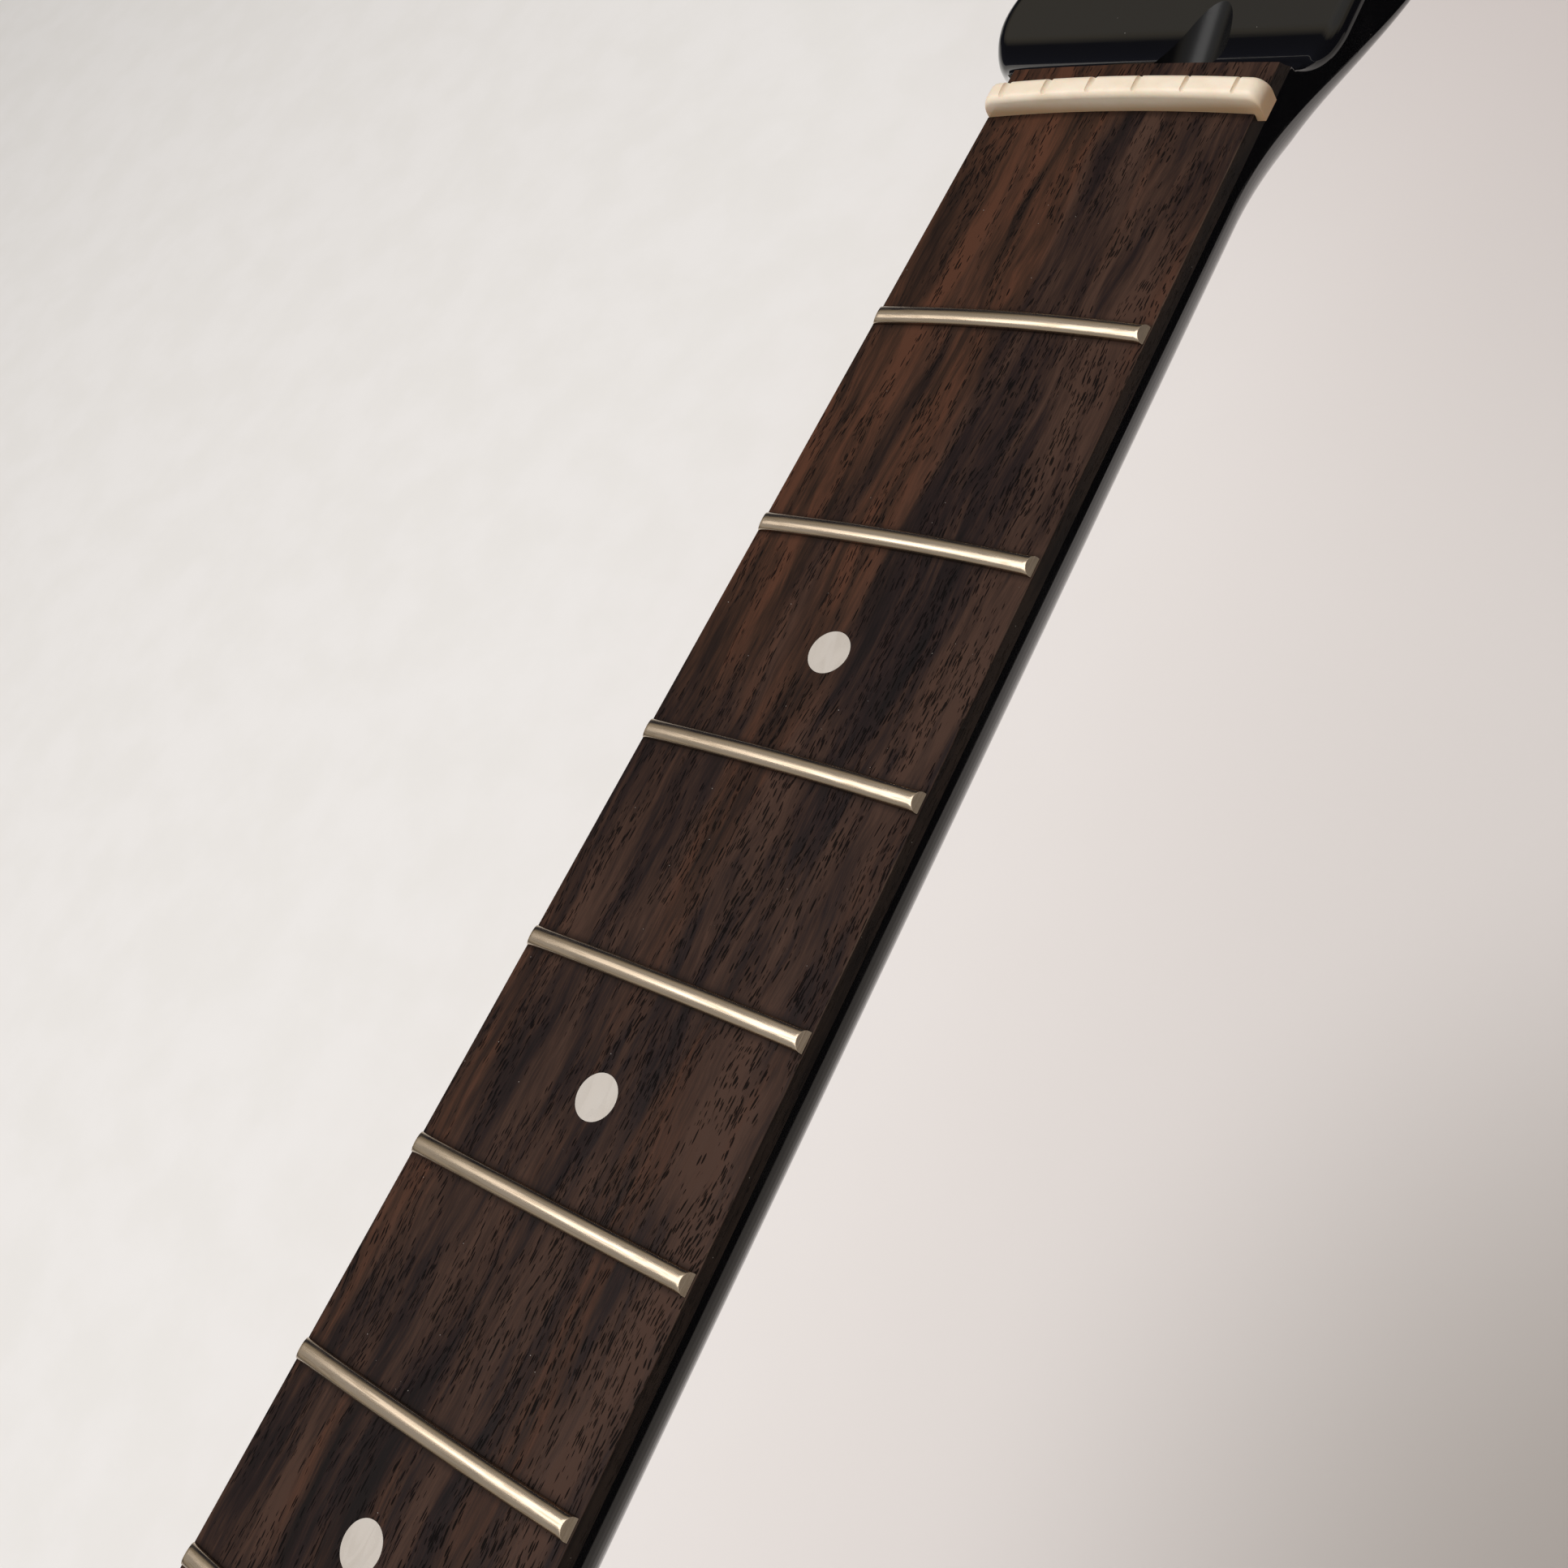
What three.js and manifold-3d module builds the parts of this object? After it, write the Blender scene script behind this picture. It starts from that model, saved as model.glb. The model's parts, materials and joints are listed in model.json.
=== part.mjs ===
// Bolt-on electric guitar neck with a flat six-in-line headstock, millimetres, +Z out of the fingerboard.
// The origin is the middle of the screw pattern on the heel's seat face: +X is the treble side, +Y the tip.
import * as THREE from 'three';
import { mergeVertices } from 'three/addons/utils/BufferGeometryUtils.js';
import Module from 'manifold-3d';

const wasm = await Module();
wasm.setup();

// Playing length
const scaleLength = 647.7;
const fretCount = 22;
const octaveFret = 12;
const markedFrets = [3, 5, 7, 9, 12, 15, 17, 19, 21];

// Fingerboard
const boardWidthAtNut = 42;
const boardWidthAtOctave = 52.1;
const boardRadius = 241.3;
const boardThickness = 3.7;
const boardPastLastFret = 8;
const boardPastHeel = 10.5;
const boardBehindNut = 7.2;
const boardCornerRadius = 3;

// Frets
const crownWidth = 2.7;
const crownHeight = 1.15;
const crownShoulderHeight = 0.3;
const tangWidth = 0.55;
const tangDepth = 1.6;
const tangShortOfEdge = 1.6;
const fretShortOfEdge = 0.15;
const fretEndBevel = THREE.MathUtils.degToRad(33);

// Position dots
const dotDiameter = 6;
const dotDepth = 1.6;
const octaveDotSpacing = 24;
const dotTowardsBody = 0.6;
const sideDotHeightShare = 0.8;
const sideDotDepth = 3;
const octaveSideDotSpacing = 6;

// Nut and strings
const nutThickness = 3.5;
const nutHeight = 3.3;
const nutSeatDepth = 2.2;
const nutEdgeRadius = 1;
const nutEndRadius = 1.8;
const nutPastEdge = 0.5;
const nutTowardsBody = 1;
const nutTowardsTreble = 0.7;
const stringCount = 6;
const stringSpreadAtNut = 36;
const stringSpreadAtBridge = 52.5;
const thickestStringSlot = 1.3;
const thinnestStringSlot = 0.6;
const stringSlotDepth = 0.4;
const stringSlotFall = THREE.MathUtils.degToRad(11);

// Neck shaft
const depthAtNut = 18.8;
const depthAtOctave = 21.6;
const straightSide = 1.5;
const backExponent = 1.9;

// Heel
const heelDepth = 25;
const heelLength = 76;
const heelBlendLength = 34;
const heelEdgeRadius = 1.8;
const heelCornerRadius = 6;
const screwSpacingAcross = 38.1;
const screwSpacingAlong = 50.8;
const screwHoleDiameter = 3.2;
const screwHoleDepth = 16;
const screwsFromHeelEnd = 12.5;

// Headstock
const headThickness = 14.4;
const headLength = 190;
const headWidthTreble = 34;
const headTipLength = 25;
const headEdgeRadius = 2.4;
const backBlendBeforeNut = 12;
const backBlendBehindNut = 50;
const shoulderStart = 6;
const shoulderEnd = 33;
const shoulderLeadExponent = 0.7;
const flareStart = 28;
const flareEnd = 150;
const rampRadius = 18.8;

// Tuner holes
const tunerHoleDiameter = 10;
const tunerPostRadius = 3;
const tunerSpacing = 25.4;
const firstTunerFromNut = 37;
const tunerFromBassEdge = 16.3;

// Truss rod
const channelWidth = 6.4;
const channelDepth = 9.7;
const rodDiameter = 4.2;
const rodAboveChannelFloor = 0.4;
const barWidth = 5.9;
const barThickness = 3.2;
const blockLength = 10;
const rodNutDiameter = 8.4;
const rodNutLength = 11;
const rodNutBehindNut = 6.5;
const socketAcrossFlats = 4;
const socketDepth = 8;
const accessDiameter = 9.6;
const accessRise = THREE.MathUtils.degToRad(15);
const channelShortOfHeelEnd = 12;

// Clearances and overruns
const seatGap = 0.05;
const rodGap = 0.25;
const runningGap = 0.1;
const overrun = 3;

// Facet counts
const acrossSteps = 8;
const crownSteps = 5;
const topCornerSteps = 3;
const nutCornerSteps = 3;
const backCornerSteps = 6;
const roundSides = 24;
const bendSides = 16;
const smallSides = 12;
const slotSides = 8;
const hexagonSides = 6;
const boardCornerSteps = 4;
const ringCounts = {
  heelCorner: 4, heelBlend: 8, shaft: 4, backBlend: 5, ramp: 7, crest: 5, flare: 9, straight: 2, tip: 8,
};
const mergeTolerance = 1e-5;

// Sizes that follow from the ones above. Distances along the neck are counted from the zero end of the
// playing length, positive towards the headstock tip.
const fretDistance = (fret) => scaleLength * (1 - 2 ** (-fret / octaveFret));
const boardEnd = -fretDistance(fretCount) - boardPastLastFret;
const heelEnd = boardEnd + boardPastHeel;
const seatAlong = heelEnd + screwsFromHeelEnd + screwSpacingAlong / 2;
const topZ = heelDepth;
const nutFront = -nutTowardsBody;
const glueZ = topZ - boardThickness;
const faceZ = headThickness;
const boardAxisZ = topZ - boardRadius;
const boardTaper = (boardWidthAtOctave - boardWidthAtNut) / fretDistance(octaveFret);
const depthTaper = (depthAtOctave - depthAtNut) / fretDistance(octaveFret);
const rampEnd = boardBehindNut + Math.sqrt(rampRadius ** 2 - (rampRadius - (topZ - faceZ)) ** 2);
const channelFloorZ = glueZ - channelDepth;
const rodZ = channelFloorZ + rodAboveChannelFloor + rodDiameter / 2;
const channelEnd = heelEnd + channelShortOfHeelEnd;
const rodNutFront = rodNutBehindNut;
const rodNutBack = rodNutFront - rodNutLength;
const glueEnd = rampEnd - Math.sqrt(rampRadius ** 2 - (rampRadius - (glueZ - faceZ)) ** 2);
const boardBottomZ = glueZ + seatGap;

const boardHalfWidth = (along) => (boardWidthAtNut - along * boardTaper) / 2;
const boardTopZ = (x) => boardAxisZ + Math.sqrt(boardRadius ** 2 - x ** 2);
const boardSideHeight = (along) => boardTopZ(boardHalfWidth(along)) - boardBottomZ;
const place = (x, along, z) => new THREE.Vector3(x, along - seatAlong, z);
const dotAlong = (fret) => -(fretDistance(fret - 1) + fretDistance(fret)) / 2 - dotTowardsBody;
const sideDotDiameter = boardSideHeight(dotAlong(Math.max(...markedFrets))) * sideDotHeightShare;

// Blend from 0 to 1 with level ends
const blend = (from, to, value) => THREE.MathUtils.smoothstep(value, from, to);
const mix = (a, b, share) => a + (b - a) * share;
const fretNumbers = Array.from({ length: fretCount }, (unused, i) => i + 1);
const twoDigits = (number) => String(number).padStart(2, '0');
const shares = (count) => Array.from({ length: count + 1 }, (unused, i) => i / count);
const quarterTurn = (count) => shares(count).map((share) => share * Math.PI / 2);

// Closed solids and booleans
function toSolid(geometry) {
  const bare = geometry.clone();
  bare.deleteAttribute('normal');
  bare.deleteAttribute('uv');
  const merged = mergeVertices(bare, mergeTolerance);
  const corners = merged.index.array;
  const triangles = [];
  for (let i = 0; i < corners.length; i += 3) {
    const [a, b, c] = [corners[i], corners[i + 1], corners[i + 2]];
    if (a !== b && b !== c && c !== a) triangles.push(a, b, c);
  }
  const { array, itemSize } = merged.attributes.position;
  const vertProperties = new Float32Array(array);
  const triVerts = new Uint32Array(triangles);
  return new wasm.Manifold(new wasm.Mesh({ numProp: itemSize, vertProperties, triVerts }));
}

function toGeometry(solid) {
  const mesh = solid.getMesh();
  const geometry = new THREE.BufferGeometry();
  geometry.setAttribute('position', new THREE.BufferAttribute(mesh.vertProperties, mesh.numProp));
  geometry.setIndex(new THREE.BufferAttribute(mesh.triVerts, 1));
  geometry.computeVertexNormals();
  return geometry;
}

// Triangles of an end face, from the ring's outline seen along the neck or across it
function capTriangles(ring, flat, start) {
  const distinct = ring.map((point, i) => i).filter((i) => {
    const next = ring[(i + 1) % ring.length];
    return ring[i].distanceTo(next) > mergeTolerance;
  });
  const outline = distinct.map((i) => flat(ring[i]));
  if (outline.length < 3) return [];
  const faces = THREE.ShapeUtils.triangulateShape(outline, []);
  return faces.map((face) => face.map((corner) => start + distinct[corner]));
}

// A loft through rings that run anticlockwise as seen from the last ring's side
function loft(rings, flat) {
  const size = rings[0].length;
  const triangles = [];
  for (let k = 0; k + 1 < rings.length; k += 1) {
    for (let i = 0; i < size; i += 1) {
      const j = (i + 1) % size;
      const [a, b] = [k * size + i, k * size + j];
      triangles.push([a, b, b + size], [a, b + size, a + size]);
    }
  }
  const last = rings.length - 1;
  capTriangles(rings[0], flat, 0).forEach(([a, b, c]) => triangles.push([a, c, b]));
  capTriangles(rings[last], flat, last * size).forEach((face) => triangles.push(face));
  const geometry = new THREE.BufferGeometry().setFromPoints(rings.flat());
  geometry.setIndex(triangles.flat());
  return toSolid(geometry);
}

function boxSolid(low, high) {
  const size = new THREE.Vector3().subVectors(high, low);
  const middle = new THREE.Vector3().addVectors(low, high).divideScalar(2);
  const geometry = new THREE.BoxGeometry(size.x, size.y, size.z);
  return toSolid(geometry.translate(middle.x, middle.y, middle.z));
}

// An upright cylinder between two heights
function postSolid(x, along, diameter, lowZ, highZ, sides) {
  const geometry = new THREE.CylinderGeometry(diameter / 2, diameter / 2, highZ - lowZ, sides);
  const centre = place(x, along, (lowZ + highZ) / 2);
  return toSolid(geometry.rotateX(Math.PI / 2).translate(centre.x, centre.y, centre.z));
}

// A cylinder along the neck, centred on the truss rod's axis
function rodSolid(diameter, from, to, sides) {
  const geometry = new THREE.CylinderGeometry(diameter / 2, diameter / 2, to - from, sides);
  const centre = place(0, (from + to) / 2, rodZ);
  return toSolid(geometry.translate(centre.x, centre.y, centre.z));
}

// A bar along the neck between two widths and heights
function barSolid(width, from, to, lowZ, highZ) {
  return boxSolid(place(-width / 2, from, lowZ), place(width / 2, to, highZ));
}

// Strings fan out from the nut to the bridge, and run on straight to the tuner posts
function stringX(share, along) {
  const spread = stringSpreadAtNut - along * (stringSpreadAtBridge - stringSpreadAtNut) / scaleLength;
  return (share - 1 / 2) * spread;
}

const tunerPlaces = shares(stringCount - 1).map((share, i) => {
  const along = firstTunerFromNut + i * tunerSpacing;
  return { x: stringX(share, along) - tunerPostRadius, along };
});

// Headstock outline: the bass edge runs beside the tuners, the treble edge flares out
const firstTuner = tunerPlaces[0];
const lastTuner = tunerPlaces.at(-1);
const tunerLineSlope = (lastTuner.x - firstTuner.x) / (lastTuner.along - firstTuner.along);
const tunerLineX = (along) => firstTuner.x + (along - firstTuner.along) * tunerLineSlope;
const bassLineX = (along) => tunerLineX(along) - tunerFromBassEdge * Math.hypot(1, tunerLineSlope);

function edgesBesideCentre(along) {
  const half = boardHalfWidth(along);
  const intoShoulder = Math.max(0, along - shoulderStart) / (shoulderEnd - shoulderStart);
  const bass = mix(-half, bassLineX(along), blend(0, 1, intoShoulder ** shoulderLeadExponent));
  const treble = mix(half, headWidthTreble, blend(flareStart, flareEnd, along));
  return { bass, treble };
}

function outlineAt(along) {
  const { bass, treble } = edgesBesideCentre(along);
  const middle = (bass + treble) / 2;
  const intoTip = Math.max(0, (along - headLength + headTipLength) / headTipLength);
  const fromHeelEnd = Math.min(heelCornerRadius, along - heelEnd);
  const corner = heelCornerRadius - Math.sqrt(heelCornerRadius ** 2 - (heelCornerRadius - fromHeelEnd) ** 2);
  const half = (treble - bass) / 2 * Math.sqrt(Math.max(0, 1 - intoTip ** 2)) - corner;
  return { middle, half };
}

// Height of the wood's top: the glue face, then the hollow ramp down to the headstock face
function woodTopZ(along) {
  if (along >= rampEnd) return faceZ;
  const rise = rampRadius - Math.sqrt(Math.max(0, rampRadius ** 2 - (rampEnd - along) ** 2));
  const onRamp = rampEnd - along < rampRadius;
  return onRamp ? Math.min(glueZ, faceZ + rise) : glueZ;
}

// Share of a square block in the section: 0 on the round shaft, 1 on the heel and the headstock
function blockShare(along) {
  const heelFront = heelEnd + heelLength;
  const atHeel = 1 - blend(heelFront, heelFront + heelBlendLength, along);
  const atHead = blend(-backBlendBeforeNut, backBlendBehindNut, along);
  return { atHeel, atHead };
}

// One ring of the neck, from the bass top corner anticlockwise as seen from the tip
function neckRing(along) {
  const { middle, half } = outlineAt(along);
  const { atHeel, atHead } = blockShare(along);
  const top = woodTopZ(along);
  const shaftBottom = topZ - depthAtNut + along * depthTaper;
  const bottom = shaftBottom * (1 - Math.max(atHeel, atHead));
  const shaftCornerHeight = glueZ - straightSide - shaftBottom;
  const edge = mix(headEdgeRadius, heelEdgeRadius, atHeel);
  const share = Math.max(atHeel, atHead);
  const backWidth = Math.min(half, mix(half, edge, share));
  const backHeight = mix(shaftCornerHeight, edge, share);
  const exponent = mix(backExponent, 2, share);
  const topRound = along > glueEnd ? headEdgeRadius * blend(0, rampEnd, along) : 0;
  const topWidth = Math.min(half, topRound);
  const topCorner = quarterTurn(topCornerSteps).map((angle) => (
    [half - topWidth * (1 - Math.cos(angle)), top - topRound * (1 - Math.sin(angle))]
  ));
  const backCorner = quarterTurn(backCornerSteps).map((angle) => {
    const x = half - backWidth * (1 - Math.cos(angle) ** (2 / exponent));
    return [x, bottom + backHeight * (1 - Math.sin(angle) ** (2 / exponent))];
  });
  const trebleSide = [...topCorner.reverse(), ...backCorner];
  const bassSide = trebleSide.map(([x, z]) => [-x, z]).reverse();
  return [...trebleSide, ...bassSide].map(([x, z]) => place(middle + x, along, z));
}

// Places of the rings: close together where the shape changes fast
function ringPlaces() {
  const between = (from, to, count) => shares(count).slice(0, -1).map((s) => mix(from, to, s));
  const heelFront = heelEnd + heelLength;
  const blendEnd = heelFront + heelBlendLength;
  const inset = (angle) => heelCornerRadius * (1 - Math.cos(angle));
  const roundIn = quarterTurn(ringCounts.heelCorner).map((angle) => heelEnd + inset(angle));
  const crestEnd = shoulderEnd + (shoulderEnd - rampEnd);
  const tipStart = headLength - headTipLength;
  const tip = quarterTurn(ringCounts.tip).map((angle) => tipStart + headTipLength * Math.sin(angle));
  return [
    ...roundIn,
    ...between(heelFront, blendEnd, ringCounts.heelBlend),
    ...between(blendEnd, -backBlendBeforeNut, ringCounts.shaft),
    ...between(-backBlendBeforeNut, boardBehindNut, ringCounts.backBlend),
    boardBehindNut,
    ...between(glueEnd, rampEnd, ringCounts.ramp),
    ...between(rampEnd, crestEnd, ringCounts.crest),
    ...between(crestEnd, flareEnd, ringCounts.flare),
    ...between(flareEnd, tipStart, ringCounts.straight),
    ...tip,
  ];
}

function neckBlank() {
  return loft(ringPlaces().map(neckRing), (point) => new THREE.Vector2(-point.x, point.z));
}

// Truss rod channel, nut pocket and the rising access groove behind the nut
function trussRodCavity() {
  const pocket = accessDiameter;
  const channel = barSolid(channelWidth, channelEnd, rodNutBack, channelFloorZ, glueZ + overrun);
  const nutBore = rodSolid(pocket, rodNutBack, rodNutFront + overrun, roundSides);
  const start = place(0, rodNutFront + overrun, rodZ);
  const bend = new THREE.SphereGeometry(pocket / 2, bendSides, bendSides / 2).rotateX(accessRise);
  const groove = new THREE.CylinderGeometry(pocket / 2, pocket / 2, headLength, roundSides);
  groove.translate(0, headLength / 2, 0).rotateX(accessRise);
  const rising = [bend, groove].map((geometry) => toSolid(geometry.translate(start.x, start.y, start.z)));
  return rising.reduce((cavity, cut) => cavity.add(cut), channel.add(nutBore));
}

function screwHoles() {
  const halfAcross = screwSpacingAcross / 2;
  const halfAlong = screwSpacingAlong / 2;
  const corners = [[-1, -1], [-1, 1], [1, -1], [1, 1]];
  return corners.map(([side, end]) => postSolid(
    side * halfAcross, seatAlong + end * halfAlong, screwHoleDiameter, -overrun, screwHoleDepth, smallSides,
  ));
}

function neck() {
  const tunerHoles = tunerPlaces.map(({ x, along }) => postSolid(
    x, along, tunerHoleDiameter, -overrun, faceZ + overrun, roundSides,
  ));
  const cuts = [trussRodCavity(), ...tunerHoles, ...screwHoles()];
  return cuts.reduce((body, cut) => body.subtract(cut), neckBlank());
}

// Round-topped prism that gives the board, the dots and the nut their playing radius
function radiusPrism(height) {
  const half = boardHalfWidth(boardEnd) + overrun;
  const across = shares(acrossSteps * 2).map((s) => mix(half, -half, s));
  const arc = across.map((x) => new THREE.Vector2(x, boardTopZ(x) + height));
  const shape = new THREE.Shape([new THREE.Vector2(-half, 0), new THREE.Vector2(half, 0), ...arc]);
  const length = boardBehindNut - boardEnd + overrun * 2;
  const geometry = new THREE.ExtrudeGeometry(shape, { depth: length, bevelEnabled: false });
  const end = place(0, boardBehindNut + overrun, 0);
  return toSolid(geometry.rotateX(Math.PI / 2).translate(end.x, end.y, end.z));
}

function boardPlan() {
  const shape = new THREE.Shape();
  const back = rampEnd;
  const corner = boardCornerRadius;
  const endHalf = boardHalfWidth(boardEnd);
  const sideHalf = boardHalfWidth(boardEnd + corner);
  const y = (along) => place(0, along, 0).y;
  shape.moveTo(boardHalfWidth(back), y(back));
  shape.lineTo(-boardHalfWidth(back), y(back));
  shape.lineTo(-sideHalf, y(boardEnd + corner));
  shape.quadraticCurveTo(-endHalf, y(boardEnd), -endHalf + corner, y(boardEnd));
  shape.lineTo(endHalf - corner, y(boardEnd));
  shape.quadraticCurveTo(endHalf, y(boardEnd), sideHalf, y(boardEnd + corner));
  const depth = boardThickness - seatGap;
  const options = { depth, bevelEnabled: false, curveSegments: boardCornerSteps };
  return toSolid(new THREE.ExtrudeGeometry(shape, options).translate(0, 0, boardBottomZ));
}

// The hollow ramp behind the nut, as a cutter for the board's end
function rampCutter() {
  const arc = quarterTurn(acrossSteps * 2).map((angle) => {
    const along = rampEnd - rampRadius * Math.sin(angle);
    return new THREE.Vector2(along, faceZ + rampRadius * (1 - Math.cos(angle)));
  });
  const roof = faceZ + rampRadius;
  const shape = new THREE.Shape([...arc, new THREE.Vector2(rampEnd + rampRadius, roof)]);
  shape.lineTo(rampEnd + rampRadius, faceZ);
  const width = boardWidthAtNut + overrun * 2;
  const geometry = new THREE.ExtrudeGeometry(shape, { depth: width, bevelEnabled: false });
  geometry.rotateX(Math.PI / 2).rotateZ(Math.PI / 2);
  return toSolid(geometry.translate(-width / 2, -seatAlong, 0));
}

// A point a given height over the playing surface
function overBoard(x, along, height) {
  return place(x, along, boardAxisZ + Math.sqrt((boardRadius + height) ** 2 - x ** 2));
}

const seenFromTreble = (point) => new THREE.Vector2(point.y, point.z);

// A solid that follows the playing radius from edge to edge. The section lists [offset, height] points
// anticlockwise as seen from the treble side, and the reach gives how far out each point ends.
function acrossBoard(start, section, reach) {
  const stations = shares(acrossSteps).map((s) => 2 * s - 1);
  const rings = stations.map((station) => section.map(([offset, height]) => {
    const along = start + offset;
    return overBoard(station * reach(along, height), along, height);
  }));
  return loft(rings, seenFromTreble);
}

function slabSection(width, low, high) {
  const half = width / 2;
  return [[-half, low], [half, low], [half, high], [-half, high]];
}

const tangReach = (along) => boardHalfWidth(along) - tangShortOfEdge;

function crownReach(along, height) {
  const bevel = Math.max(0, height) * Math.tan(fretEndBevel);
  return boardHalfWidth(along) - fretShortOfEdge - bevel;
}

// Crown over a tang, flat where it seats on the board
function fretWire(fret) {
  const along = -fretDistance(fret);
  const half = crownWidth / 2;
  const crown = shares(crownSteps).map((s) => {
    const angle = s * Math.PI;
    const height = crownShoulderHeight + (crownHeight - crownShoulderHeight) * Math.sin(angle);
    return [half * Math.cos(angle), height];
  });
  const seat = [[-half, seatGap], [half, seatGap]];
  const cap = acrossBoard(along, [...seat, ...crown], crownReach);
  const tang = acrossBoard(along, slabSection(tangWidth, -tangDepth, crownShoulderHeight), tangReach);
  return cap.add(tang);
}

function fretSlot(fret) {
  const section = slabSection(tangWidth + seatGap * 2, -tangDepth - runningGap, overrun);
  return acrossBoard(-fretDistance(fret), section, (along) => tangReach(along) + runningGap);
}


// Dots sit between frets, a pair at the octave
function dotList() {
  return markedFrets.flatMap((fret) => {
    const along = dotAlong(fret);
    if (fret !== octaveFret) return [{ name: twoDigits(fret), along, x: 0, sideAlong: along }];
    return [['a', -1], ['b', 1]].map(([letter, way]) => ({
      name: `${twoDigits(fret)}_${letter}`,
      along,
      x: way * octaveDotSpacing / 2,
      sideAlong: along + way * octaveSideDotSpacing / 2,
    }));
  });
}

function faceDot({ x, along }) {
  const post = postSolid(x, along, dotDiameter, topZ - dotDepth, topZ + overrun, roundSides);
  return post.intersect(radiusPrism(0));
}

function faceDotPocket({ x, along }) {
  const floor = topZ - dotDepth - seatGap;
  return postSolid(x, along, dotDiameter + seatGap * 2, floor, topZ + overrun, roundSides);
}

// Side dots lie square to the centre line, halfway up the board's bass side, and fit its lowest marked place
function sideDotSolid(along, diameter, from, to) {
  const geometry = new THREE.CylinderGeometry(diameter / 2, diameter / 2, to - from, smallSides);
  const centreZ = boardBottomZ + boardSideHeight(along) / 2;
  const centre = place(-(from + to) / 2, along, centreZ);
  return toSolid(geometry.rotateZ(Math.PI / 2).translate(centre.x, centre.y, centre.z));
}

function sideDot({ sideAlong }) {
  const edge = boardHalfWidth(sideAlong) - seatGap;
  return sideDotSolid(sideAlong, sideDotDiameter, edge - sideDotDepth, edge);
}

function sideDotPocket({ sideAlong }) {
  const edge = boardHalfWidth(sideAlong);
  const inner = edge - sideDotDepth - seatGap * 2;
  return sideDotSolid(sideAlong, sideDotDiameter + seatGap * 2, inner, edge + overrun);
}

// The nut's seat is a flat-floored slot across the board
function nutSlot() {
  const half = boardWidthAtNut / 2 + overrun;
  const low = place(-half, nutFront - seatGap, topZ - nutSeatDepth);
  return boxSolid(low, place(half, nutFront + nutThickness + seatGap, topZ + overrun));
}

function fingerboard() {
  const cuts = [
    rampCutter(),
    nutSlot(),
    ...fretNumbers.map(fretSlot),
    ...dotList().map(faceDotPocket),
    ...dotList().map(sideDotPocket),
  ];
  const blank = boardPlan().intersect(radiusPrism(0));
  return cuts.reduce((board, cut) => board.subtract(cut), blank);
}

// Stations across the nut: the top drops in a quarter circle at each end
function nutStations() {
  const half = boardWidthAtNut / 2 + nutPastEdge;
  const levelHalf = half - nutEndRadius;
  const end = quarterTurn(nutCornerSteps).map((angle) => (
    { x: levelHalf + nutEndRadius * Math.sin(angle), drop: nutEndRadius * (1 - Math.cos(angle)) }
  ));
  const level = shares(acrossSteps).slice(1, -1).map((s) => ({ x: mix(-levelHalf, levelHalf, s), drop: 0 }));
  const bassEnd = end.map(({ x, drop }) => ({ x: -x, drop })).reverse();
  return [...bassEnd, ...level, ...end];
}

// Nut: rounded top edges and ends, radiused like the board, with a flat floor
function nutBlank() {
  const bodySide = quarterTurn(nutCornerSteps).map((angle) => (
    [nutEdgeRadius * (1 - Math.sin(angle)), nutHeight - nutEdgeRadius * (1 - Math.cos(angle))]
  ));
  const tipSide = bodySide.map(([offset, height]) => [nutThickness - offset, height]).reverse();
  const floor = -nutSeatDepth - overrun;
  const rings = nutStations().map(({ x, drop }) => {
    const top = [...tipSide, ...bodySide].map(([offset, height]) => [offset, height - drop]);
    const section = [[0, floor], [nutThickness, floor], ...top];
    return section.map(([offset, height]) => overBoard(x + nutTowardsTreble, nutFront + offset, height));
  });
  const half = boardWidthAtNut / 2 + nutTowardsTreble + overrun;
  const aboveFloor = boxSolid(
    place(-half, nutFront - overrun, topZ - nutSeatDepth + seatGap),
    place(half, nutFront + nutThickness + overrun, topZ + nutHeight + overrun),
  );
  return loft(rings, seenFromTreble).intersect(aboveFloor);
}

// Round-bottomed string slots that fall away towards the tuners
function stringSlot(share) {
  const width = mix(thickestStringSlot, thinnestStringSlot, share);
  const length = nutThickness + overrun * 2;
  const x = stringX(share, 0) + nutTowardsTreble;
  const round = new THREE.CylinderGeometry(width / 2, width / 2, length, slotSides);
  const open = new THREE.BoxGeometry(width, length, overrun).translate(0, 0, overrun / 2);
  const seatZ = boardTopZ(x) + nutHeight - stringSlotDepth + width / 2;
  const start = place(x, nutFront, seatZ);
  const pieces = [round, open].map((geometry) => {
    geometry.translate(0, length / 2 - overrun, 0).rotateX(-stringSlotFall);
    return toSolid(geometry.translate(start.x, start.y, start.z));
  });
  return pieces[0].add(pieces[1]);
}

function nut() {
  return shares(stringCount - 1).map(stringSlot).reduce((body, slot) => body.subtract(slot), nutBlank());
}

// Truss rod: a bar over a threaded rod, held together by a block at each end
const frontBlockFront = rodNutBack - rodGap;
const frontBlockBack = frontBlockFront - blockLength;
const heelBlockBack = channelEnd + rodGap;
const heelBlockFront = heelBlockBack + blockLength;
const barFloorZ = rodZ + rodDiameter / 2 + rodGap;
const barRoofZ = barFloorZ + barThickness;

function trussRodBlock(from) {
  const block = barSolid(barWidth, from, from + blockLength, channelFloorZ + seatGap, barRoofZ);
  const boreDiameter = rodDiameter + runningGap * 2;
  const bore = rodSolid(boreDiameter, from - overrun, from + blockLength + overrun, roundSides);
  return block.subtract(bore);
}

function trussRodBar() {
  return barSolid(barWidth, heelBlockFront + seatGap, frontBlockBack - seatGap, barFloorZ, barRoofZ);
}

function trussRodThreadedRod() {
  return rodSolid(rodDiameter, heelBlockBack, rodNutBack, roundSides);
}

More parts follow.
